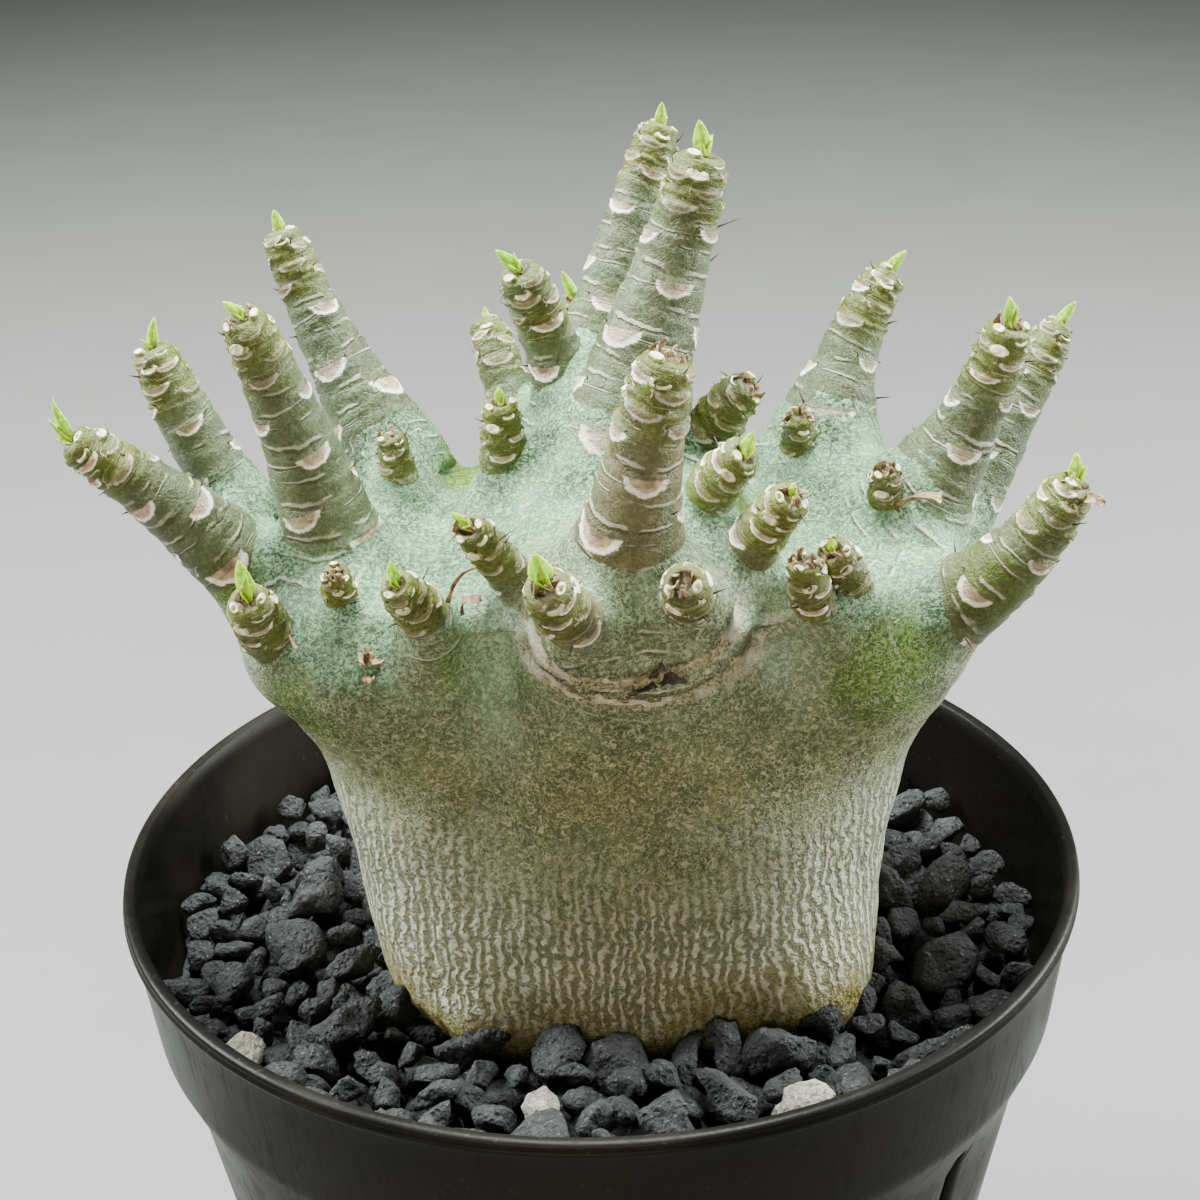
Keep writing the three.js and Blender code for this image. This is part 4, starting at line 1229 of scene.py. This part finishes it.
def pot_points(rows):
    """Points of the pot, with each panel's columns spread between the edges of two slits.

    A slit keeps its width, so its edges stand off by the angle whose sine is half the width
    over the radius.
    """
    height, value, fixed = rows.T[..., None]
    edge = np.arcsin(SLIT_WIDTH / 2 / np.interp(height, CONE_HEIGHTS, CONE_RADII))
    share = np.tile(np.linspace(0, 1, PANEL_COLUMNS), PANELS)[None, :]
    number = np.repeat(np.arange(PANELS), PANEL_COLUMNS)[None, :]
    start = PANEL_TURN - PANEL_WIDTH / 2 + PANEL_WIDTH * number
    turn = start + edge + (PANEL_WIDTH - 2 * edge) * share
    radius = np.where(fixed, value, wall_radius(height, turn, np.where(fixed, 0, value)))
    return around(radius, turn, height)


def pot_faces(rows):
    """Faces of the pot: the grid without the slits' cells, and a band of faces round each cut.

    The band joins the outer skin's edge of the cut to the inner one's, up one side, across the
    top, down the other side and back along the bottom.
    """
    columns = PANELS * PANEL_COLUMNS
    outer, inner = np.flatnonzero(np.isin(rows[:, 0], SLIT_LEVELS)).reshape(2, -1)
    inner = inner[::-1]
    quads, triangles = tube_faces(len(rows), columns)
    row, column = quads[:, 0] // columns, quads[:, 0] % columns
    last_columns = np.arange(1, PANELS + 1) * PANEL_COLUMNS - 1
    is_cut = np.isin(column, last_columns)
    is_cut &= np.isin(row, outer[:-1]) | np.isin(row, inner[1:])
    kept = [quads[~is_cut]]
    for left in last_columns:
        right = (left + 1) % columns
        outside, inside = (np.append(edge * columns + left, edge[::-1] * columns + right)
                           for edge in (outer, inner))
        kept.append(np.stack([outside, inside, np.roll(inside, -1), np.roll(outside, -1)],
                             axis=-1))
    return np.concatenate(kept), triangles


points = with_ends(pot_points(rows), [[0, 0, 0], [0, 0, FLOOR_THICKNESS]])
pot = make_piece("moulded_pot", points, pot_faces(rows), ("pot",))
print("pot of", len(pot.data.polygons), "faces")

# %% [markdown]
# ## The fill below the chips
# Chips fill the pot to its floor, but only the top layer and a strip behind each slit are ever
# seen. A core with a rough skin stands for all the rest, turned about the pot's axis.

# %% The core of the fill
CORE_LOW_Z = FLOOR_THICKNESS + 0.6
CORE_TOP_Z = 102.5
CORE_CLEARANCE = 0.5
CORE_TOP_ROWS = 14
CORE_COLUMNS = 120


def core_points():
    """Rows of a rough core just inside the wall, from its floor up and in to the middle."""
    wall_z = np.linspace(CORE_LOW_Z, CORE_TOP_Z, 34)
    turn = ring_turns(CORE_COLUMNS)[None, :]
    wall = wall_radius(wall_z[:, None], turn, WALL + CORE_CLEARANCE)
    top = wall[-1:] * np.linspace(0.95, 0.1, CORE_TOP_ROWS)[:, None]
    radius = np.concatenate([wall[:1] * 0.5, wall, top])
    height = np.concatenate([wall_z[:1], wall_z, np.full(CORE_TOP_ROWS, CORE_TOP_Z)])
    points = around(radius, turn, height[:, None])
    rough = 0.7 * noise(points, 4.5, 51) - 0.7
    side = slice(1, -CORE_TOP_ROWS)
    points[side, :, :2] *= (1 + rough[side] / radius[side])[..., None]
    points[-CORE_TOP_ROWS:, :, 2] += rough[-CORE_TOP_ROWS:]
    return points


core = core_points()
make_tubes("fill_core", [with_ends(core, [[0, 0, CORE_LOW_Z], [0, 0, CORE_TOP_Z - 0.7]])],
           core.shape[:2], "dark_gravel", ("gravel_soil",))
print("core rows", len(core))

# %% [markdown]
# ## Materials from the outside in
# Every finish is a small network: noise on the object's own coordinates for what has no
# direction, and the numbers kept on the points for what follows the plant. A node's output is
# wrapped so that it can be added and multiplied as numbers are, each sum adding its own node.

# %% Nodes that can be added and multiplied
class Value:
    """A node's output, a number or a colour that varies over the surface."""

    def __init__(self, socket):
        self.socket = socket

    def __add__(self, other):
        return calc("ADD", self, other)

    def __sub__(self, other):
        return calc("SUBTRACT", self, other)

    def __mul__(self, other):
        return calc("MULTIPLY", self, other)

    def __abs__(self):
        return calc("ABSOLUTE", self)


def fill(node, inputs):
    """Sets a node's inputs, or joins them to values made before."""
    for name, value in inputs.items():
        if isinstance(value, Value):
            tree.links.new(value.socket, node.inputs[name])
        else:
            node.inputs[name].default_value = value


def add(kind, inputs=None, output=0, **settings):
    """Adds a node to the open material, sets it up, and gives one of its outputs."""
    node = tree.nodes.new(kind)
    for name, value in settings.items():
        setattr(node, name, value)
    fill(node, inputs or {})
    return Value(node.outputs[output])


def calc(operation, first, second=0.0):
    """One sum of numbers, such as ADD, SINE or ABSOLUTE."""
    return add("ShaderNodeMath", {0: first, 1: second}, operation=operation)


def larger(first, *others):
    """The largest of several values."""
    for other in others:
        first = calc("MAXIMUM", first, other)
    return first


print("nodes can be added and multiplied")

# %% Helpers for materials
def open_material(name):
    """Starts a material with one main shader, to which the helpers then add their nodes."""
    global material, tree, shader, place
    material = bpy.data.materials.new(name)
    material.use_nodes = True
    tree = material.node_tree
    tree.nodes.clear()
    shader = tree.nodes.new("ShaderNodeBsdfPrincipled")
    ending = tree.nodes.new("ShaderNodeOutputMaterial")
    fill(ending, {"Surface": Value(shader.outputs["BSDF"])})
    place = add("ShaderNodeTexCoord", output="Object")


def finish(colour, roughness, height=None, depth=0.0, **inputs):
    """Fills the shader. A height of 1 in the bump stands for a depth in millimetres."""
    fill(shader, {"Base Color": colour, "Roughness": roughness})
    if height is not None:
        bump = {"Height": height, "Distance": depth * MM, "Strength": 1.0}
        fill(shader, {"Normal": add("ShaderNodeBump", bump)})
    fill(shader, {name.replace("_", " "): value for name, value in inputs.items()})
    return material


def mix(share, first, second):
    """One colour below, another above, by a share that may be a number or a value.

    A Mix node keeps its two colours in inputs 6 and 7, and gives the mixed one in output 2.
    """
    first, second = (tone if isinstance(tone, Value) else (*tone, 1) for tone in (first, second))
    return add("ShaderNodeMix", {0: share, 6: first, 7: second}, 2, data_type="RGBA")


def layered(colour, *layers):
    """Colours laid over each other, each by its own share."""
    for share, tone in layers:
        colour = mix(share, colour, tone)
    return colour


def step(value, low, high):
    """A smooth step from 0 at low to 1 at high, where low may also be the larger."""
    inputs = {"Value": value, "From Min": low, "From Max": high}
    return add("ShaderNodeMapRange", inputs, interpolation_type="SMOOTHSTEP")


def grain(millimetres, detail=2.0, bend=0.0, roughness=0.5, at=None):
    """Noise around 0.5 whose grains are about that many millimetres across."""
    return add("ShaderNodeTexNoise", {
        "Vector": at or place, "Scale": 1 / (millimetres * MM), "Detail": detail,
        "Distortion": bend, "Roughness": roughness})


def squiggles(millimetres, width, bend, at=None):
    """Thin winding lines: where noise is within a width of its middle value."""
    return step(abs(grain(millimetres, 1.5, bend, at=at) - 0.5), width, width * 0.25)


def parts_of(vector):
    """The three numbers of a vector."""
    node = tree.nodes.new("ShaderNodeSeparateXYZ")
    fill(node, {0: vector})
    return [Value(output) for output in node.outputs]


def marks_of(name):
    """The three numbers that every point keeps under a name."""
    return parts_of(add("ShaderNodeAttribute", output="Vector", attribute_name=name))


print("helpers ready")

# %% [markdown]
# ## The living skin
# The skin is waxy: olive below, mint above, with a web of fine whitish wrinkles that run
# upright on the trunk. The scars are cream half-moons with a brown edge and three small
# dots. The colours come first, then the scar is drawn over them, then roughness and bump.

# %% Skin colours
# Each zone has a dark and a pale colour, which a fine web of noise mixes
OLIVE = ((0.056, 0.066, 0.027), (0.196, 0.224, 0.124))
MINT = ((0.026, 0.058, 0.021), (0.195, 0.375, 0.225))
LEAF_GREEN = ((0.026, 0.056, 0.002), (0.110, 0.200, 0.016))
MOSS = ((0.070, 0.056, 0.005), (0.270, 0.225, 0.045))
LIME = ((0.040, 0.060, 0.003), (0.240, 0.310, 0.030))
BARK = ((0.080, 0.058, 0.018), (0.400, 0.330, 0.190))
# Painted shade: darkens the whole skin of every finger, and the ring creases
PAINTED_FINGER_SHADE = (0.034, 0.026, 0.004)
FLECK = (0.500, 0.490, 0.320)
# Painted highlight on the valleys' walls between the lobes
VALLEY_HIGHLIGHT = (0.360, 0.520, 0.400)
GREY_BARK = (0.150, 0.158, 0.112)
RIDGE = (0.600, 0.610, 0.500)
RING_CREAM = (0.700, 0.680, 0.560)
SCAR_TAN = ((0.380, 0.260, 0.160), (0.640, 0.500, 0.370))
SCAR_LIP = (0.920, 0.900, 0.800)
SCAR_BROWN = (0.040, 0.022, 0.012)


def skin_base():
    """The skin's colour without lines or scars, the web that mixes its pairs, and the zones.

    The web has less contrast on a finger, whose skin is smoother than the trunk's.
    """
    mint, moss, green = marks_of("skin_zone")
    lime, tan, dry = marks_of("skin_age")
    on_finger = marks_of("ring_line")[2]
    cloud = step(grain(6.5, 3.0, 0.0, 0.6), 0.36, 0.64)
    fine = step(grain(0.62, 3.0, 0.8, 0.6), 0.41, 0.61)
    web = cloud * 0.28 + on_finger * 0.16 + fine * (on_finger * -0.32 + 0.72)
    colour = mix(web, *OLIVE)
    # The mint mark is partly painted light: paler on top and down the sides, thinner where shade
    # falls
    for share, pair in ((mint, MINT), (moss, MOSS), (green, LEAF_GREEN), (tan, BARK), (lime, LIME),
                        (dry, (SCAR_BROWN, BARK[0]))):
        # On the stem the dry mark is the painted shadow in the folds' crease
        colour = mix(step(web * 0.3 + share, 0.15, 1.10), colour, mix(web, *pair))
    return colour, web, mint, on_finger


print("the trunk runs from", OLIVE[0], "to", OLIVE[1])

# %% Wrinkles and ring lines
RIDGES_AROUND = 134
# In metres, as Object coordinates are
TRUNK_MIDDLE = 0.004


def low_wrinkles():
    """Upright wrinkles of the lower trunk, and where that trunk lies.

    They are a wave of the turn round the trunk's middle. Broad noise lets it waver and fine
    noise breaks it into grains. The zone reaches higher towards the trunk's left and right.
    """
    x, y, height = parts_of(place)
    beside = x - TRUNK_MIDDLE
    waver = grain(12.0, 1.0) * 0.020 + height
    lower = step(abs(beside) * -0.22 + waver, 0.158, 0.130) * step(waver, 0.118, 0.127)
    turn = calc("ARCTAN2", y, beside) * RIDGES_AROUND
    wave = calc("SINE", grain(1.6) * 8.0 + grain(5.0) * 12.0 + turn)
    broken = step(grain(1.2, 3.0, 0.5), 0.33, 0.52)
    return step(wave, -0.8, 0.9) * broken * lower, lower


def ring_lines():
    """A pale thin line and a dark one of painted shade once in every count of the rings, broken up
    by noise.
    """
    count, shown, _ = marks_of("ring_line")
    share = calc("FRACT", grain(2.4) * 0.30 + count)
    broken = step(grain(4.5), 0.44, 0.56) * shown
    return [step(abs(share - middle), 0.10, 0.035) * broken for middle in (0.5, 0.36)]


print(RIDGES_AROUND, "upright wrinkles around the trunk")

# %% Leaf scars
def spot(u, v, middle, reach):
    """A soft spot of a given reach around a place on the scar."""
    on_scar = add("ShaderNodeCombineXYZ", {0: u, 1: v})
    off = add("ShaderNodeVectorMath", {0: on_scar, 1: (*middle, 0.0)}, "Value",
              operation="DISTANCE")
    return step(off, reach, reach * 0.4)


def scar_masks():
    """Where the scar's face, its cream lip and its dark marks lie, from each point's place on it.

    The face is the lower half of an ellipse and the lip is the band inside its round edge. Only
    some scars keep a brown bud in the middle of the flat edge and a dark line along it.
    """
    u, v, near = marks_of("leaf_scar")
    shaken = grain(0.9) * 0.34 - 0.17
    out = calc("SQRT", u * u + v * v) + shaken
    face = step(out, 1.04, 0.92) * step(shaken * 0.5 + v, 0.05, -0.06) * near
    edge = step(abs(v), 0.12, 0.03) * step(abs(u), 1.0, 0.7) * step(grain(1.6), 0.42, 0.60)
    bud = spot(u, v, (0.1, -0.12), 0.45) * step(grain(7.0, 1.0), 0.48, 0.60)
    dots = larger(spot(u, v, (-0.45, -0.42), 0.13), spot(u, v, (0.42, -0.45), 0.12))
    dark = larger(edge * 0.75, bud * 0.7, dots * 0.35)
    return face, face * step(out, 0.66, 0.84), dark * near


print("scars are drawn on", sum(len(scars) for scars in finger_scars.values()), "cushions")

# %% Skin
def make_skin():
    """Zones first, then wrinkles, flecks, rings and scars laid over them."""
    open_material("living_skin")
    colour, web, mint, on_finger = skin_base()
    ridge, lower = low_wrinkles()
    smooth_skin = larger(mint, on_finger, lower)
    strokes = squiggles(1.15, 0.050, 1.0) * (smooth_skin * -0.40 + 0.58)
    rings, shaded_creases = ring_lines()
    face, lip, dark = scar_masks()
    colour = layered(
        colour,
        (lower * 0.55, GREY_BARK),
        (ridge * (mint * -0.35 + 0.72), RIDGE),
        # Painted highlight on the valleys' walls
        (marks_of("valley_highlight")[0] * (web * 0.60 + 0.20), VALLEY_HIGHLIGHT),
        (strokes, FLECK),
        # Painted shade: the fingers' skin is darkened all over
        (on_finger * 0.52, PAINTED_FINGER_SHADE),
        # Painted shade darkens the ring creases, which the bump also sinks
        (shaded_creases * 0.6, PAINTED_FINGER_SHADE),
        (rings * 0.5, RING_CREAM),
        (face, mix(web, *SCAR_TAN)),
        (lip, SCAR_LIP),
        (dark, SCAR_BROWN),
    )
    height = ridge * 1.2 + web * 0.55 + strokes * 0.60 + rings * 0.45 - shaded_creases * 0.5
    return finish(colour, face * 0.25 + web * 0.18 + 0.34, height, 0.30,
                  Specular_IOR_Level=0.24)


skin = make_skin()
print("skin nodes", len(skin.node_tree.nodes))

# %% [markdown]
# ## Leaves, scraps and bristles
# A young leaf is thin, so some light passes into it, and its margin and midrib are paler.
# The scraps run from dark brown to straw, and the bristles are almost black.

# %% Small finishes
def make_leaf():
    """Mottled lime with a pale midrib and margin and a dark foot."""
    open_material("lime_leaf")
    across_leaf, along_leaf, _ = marks_of("leaf_place")
    vein, margin = step(abs(across_leaf), 0.16, 0.03), step(abs(across_leaf), 0.82, 0.98)
    mottle = step(grain(0.8, 3.0), 0.35, 0.65)
    colour = layered(mix(mottle, (0.180, 0.330, 0.004), (0.400, 0.600, 0.012)),
                     (larger(vein, margin) * 0.45, (0.520, 0.720, 0.100)),
                     (step(along_leaf, 0.30, 0.0), (0.080, 0.100, 0.014)))
    return finish(colour, 0.38, vein + mottle, 0.05, Subsurface_Weight=0.25,
                  Subsurface_Scale=0.0015, Subsurface_Radius=(0.5, 1.0, 0.1))


def make_scrap():
    """Straw and brown by turns, paler towards the end, with a share of black."""
    open_material("dry_scale")
    along, black, _ = marks_of("scrap_place")
    mottle = step(grain(0.9, 4.0, 0.5), 0.35, 0.65)
    colour = mix(mottle * 0.6 + along * 0.3, (0.045, 0.022, 0.010), (0.400, 0.270, 0.130))
    return finish(mix(black * 0.85, colour, (0.008, 0.006, 0.005)), 0.7, mottle, 0.12)


def make_bristle():
    """Nearly black, with brown flecks."""
    open_material("dark_bristle")
    mottle = step(grain(0.7), 0.4, 0.6)
    return finish(mix(mottle, (0.012, 0.008, 0.006), (0.060, 0.032, 0.018)), 0.6)


def make_stub():
    """The stub's sides are lime skin, and its cut face is cream with a darker rim."""
    open_material("leaf_stub")
    cut = marks_of("cut_face")[0]
    mottle = step(grain(0.8, 3.0), 0.35, 0.65)
    face = mix(mottle, (0.400, 0.360, 0.200), (0.680, 0.670, 0.460))
    colour = layered(mix(mottle, (0.085, 0.120, 0.018), (0.330, 0.390, 0.110)),
                     (step(abs(cut - 0.35), 0.22, 0.05) * 0.6, (0.120, 0.075, 0.030)),
                     (step(cut, 0.55, 0.85), face))
    return finish(colour, 0.5, mottle, 0.10)


leaf_finish, scrap_finish, bristle_finish = make_leaf(), make_scrap(), make_bristle()
stub_finish = make_stub()
print("small finishes ready")

# %% [markdown]
# ## Stones and plastic
# Lava is charcoal with a rough, pitted skin that still catches a glint. The plastic is black
# and satin, with faint dust outside and fine scuffs that only show where light grazes it.

# %% Stone and pot finishes
def make_stone(name, dark, light, dust, pit_depth):
    """Crushed stone: two tones, cracks, specks of dust, and two sizes of pit."""
    open_material(name)
    broad = step(grain(7.0, 3.0), 0.35, 0.65)
    fine = grain(0.8, 3.0, 0.0, 0.7)
    cells = add("ShaderNodeTexVoronoi", {"Vector": place, "Scale": 1 / (1.3 * MM)}, "Distance")
    pits = step(cells, 0.12, 0.42)
    colour = layered(mix(broad * 0.5 + step(fine, 0.4, 0.62) * 0.5, dark, light),
                     (squiggles(2.6, 0.035, 0.8) * 0.7, tuple(0.25 * tone for tone in dark)),
                     (step(grain(0.55), 0.64, 0.72) * 0.6, dust),
                     # Painted shade: the pits are darkened inside
                     (pits * -0.4 + 0.4, tuple(0.35 * tone for tone in dark)))
    height = grain(2.2) * 0.9 + fine * 0.6 + pits * 0.25
    return finish(colour, fine * 0.3 + 0.62, height, pit_depth, Specular_IOR_Level=0.35)


def make_plastic():
    """Satin black: dust in soft clouds, sparse bright specks, and fine upright scuffs."""
    open_material("black_plastic")
    cloud = step(grain(28.0, 4.0), 0.42, 0.70)
    drawn = add("ShaderNodeMapping", {"Vector": place, "Scale": (1, 1, 0.06)})
    scuff = squiggles(2.6, 0.03, 0.1, drawn)
    dust = cloud * 0.13 + step(grain(1.1), 0.68, 0.76) * 0.35
    colour = mix(dust, (0.004, 0.0035, 0.003), (0.040, 0.033, 0.022))
    return finish(colour, scuff * 0.08 + cloud * 0.14 + 0.34, grain(0.9), 0.03,
                  Specular_IOR_Level=0.07)


lava = make_stone("lava_chip", (0.004, 0.004, 0.004), (0.034, 0.034, 0.035),
                  (0.170, 0.160, 0.145), 1.4)
pumice = make_stone("pale_chip", (0.120, 0.110, 0.085), (0.300, 0.280, 0.220),
                    (0.420, 0.390, 0.320), 0.7)
plastic = make_plastic()
print("stone and plastic finishes ready")

# %% Give every piece its finish
FINISH_BY_NAME = {
    "young_leaves": leaf_finish,
    "dried_scraps": scrap_finish,
    "leaf_stubs": stub_finish,
    "bristles": bristle_finish,
    "top_chips": lava,
    "lower_chips": lava,
    "fill_core": lava,
    "moulded_pot": plastic,
}
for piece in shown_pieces():
    rest = pumice if piece.name.endswith("_rough") else skin
    piece.data.materials.clear()
    piece.data.materials.append(FINISH_BY_NAME.get(piece.name, rest))

# %% [markdown]
# ## Floor, light and camera
# The photograph was taken from a little above, close to the plant, under large soft lights
# behind it to the left and right: the edges of every finger are bright and the fronts are in
# soft shade. Broad area lights copy that, with a weak fill from the front.

# %% Floor
FLOOR_HALF = 6.0


def make_floor():
    """A flat pale sheet that carries the pot."""
    corners = [(-FLOOR_HALF, -FLOOR_HALF, 0), (FLOOR_HALF, -FLOOR_HALF, 0),
               (FLOOR_HALF, FLOOR_HALF, 0), (-FLOOR_HALF, FLOOR_HALF, 0)]
    mesh = bpy.data.meshes.new("floor")
    mesh.from_pydata(corners, [], [(0, 1, 2, 3)])
    floor = bpy.data.objects.new("floor", mesh)
    bpy.context.scene.collection.objects.link(floor)
    open_material("pale_floor")
    colour = mix(grain(60.0, 3.0), (0.115, 0.113, 0.108), (0.132, 0.130, 0.125))
    mesh.materials.append(finish(colour, 0.75))
    return floor


make_floor()
print("floor", 2 * FLOOR_HALF, "m across")

# %% Lights
PLANT_MIDDLE = Vector((0, 0, 0.15))
COOL, WARM = (0.93, 1.0, 0.98), (1.0, 0.88, 0.66)
# Each light: place, width, height, power in watts and tint
LIGHTS = {
    "back_left_soft": ((-0.72, 0.20, 0.70), 0.45, 0.5, 42.0, COOL),
    "back_right_soft": ((0.74, 0.20, 0.46), 0.4, 0.5, 32.0, COOL),
    "overhead_soft": ((0.0, 0.16, 0.95), 0.35, 0.35, 46.0, COOL),
    "front_fill": ((-0.15, -1.10, 0.42), 0.6, 0.4, 10.0, WARM),
}
for name, (spot_place, width, height, power, tint) in LIGHTS.items():
    light = bpy.data.lights.new(name, "AREA")
    light.shape = "RECTANGLE"
    light.color = tint
    light.size, light.size_y, light.energy = width, height, power
    lamp = bpy.data.objects.new(name, light)
    lamp.location = spot_place
    lamp.rotation_euler = (PLANT_MIDDLE - Vector(spot_place)).to_track_quat("-Z", "Y").to_euler()
    bpy.context.scene.collection.objects.link(lamp)
world = bpy.data.worlds.new("soft_room")
world.use_nodes = True
world.node_tree.nodes["Background"].inputs["Color"].default_value = (0.80, 0.83, 0.86, 1)
world.node_tree.nodes["Background"].inputs["Strength"].default_value = 0.08
bpy.context.scene.world = world
print("lights", len(LIGHTS))

# %% Camera
CAMERA_PLACE = Vector((0, -0.299, 0.3112))
CAMERA_PITCH, CAMERA_YAW, CAMERA_ROLL = np.radians([25.79, 0.25, -1.9])
FOCAL_LENGTH = 66.0
SENSOR_WIDTH = 36.0

forward = Vector((np.sin(CAMERA_YAW) * np.cos(CAMERA_PITCH),
                  np.cos(CAMERA_YAW) * np.cos(CAMERA_PITCH), -np.sin(CAMERA_PITCH)))
level_right = Vector((np.cos(CAMERA_YAW), -np.sin(CAMERA_YAW), 0))
level_up = level_right.cross(forward)
right = level_right * np.cos(CAMERA_ROLL) + level_up * np.sin(CAMERA_ROLL)
up = level_up * np.cos(CAMERA_ROLL) - level_right * np.sin(CAMERA_ROLL)
camera_data = bpy.data.cameras.new("camera")
camera_data.lens = FOCAL_LENGTH
camera_data.sensor_width = SENSOR_WIDTH
camera_data.sensor_fit = "HORIZONTAL"
camera_data.clip_start = 0.01
camera = bpy.data.objects.new("camera", camera_data)
turned = Matrix((right, up, -forward)).transposed().to_4x4()
camera.matrix_world = Matrix.Translation(CAMERA_PLACE) @ turned
bpy.context.scene.collection.objects.link(camera)
bpy.context.scene.camera = camera
print("camera at", tuple(round(value, 3) for value in CAMERA_PLACE))
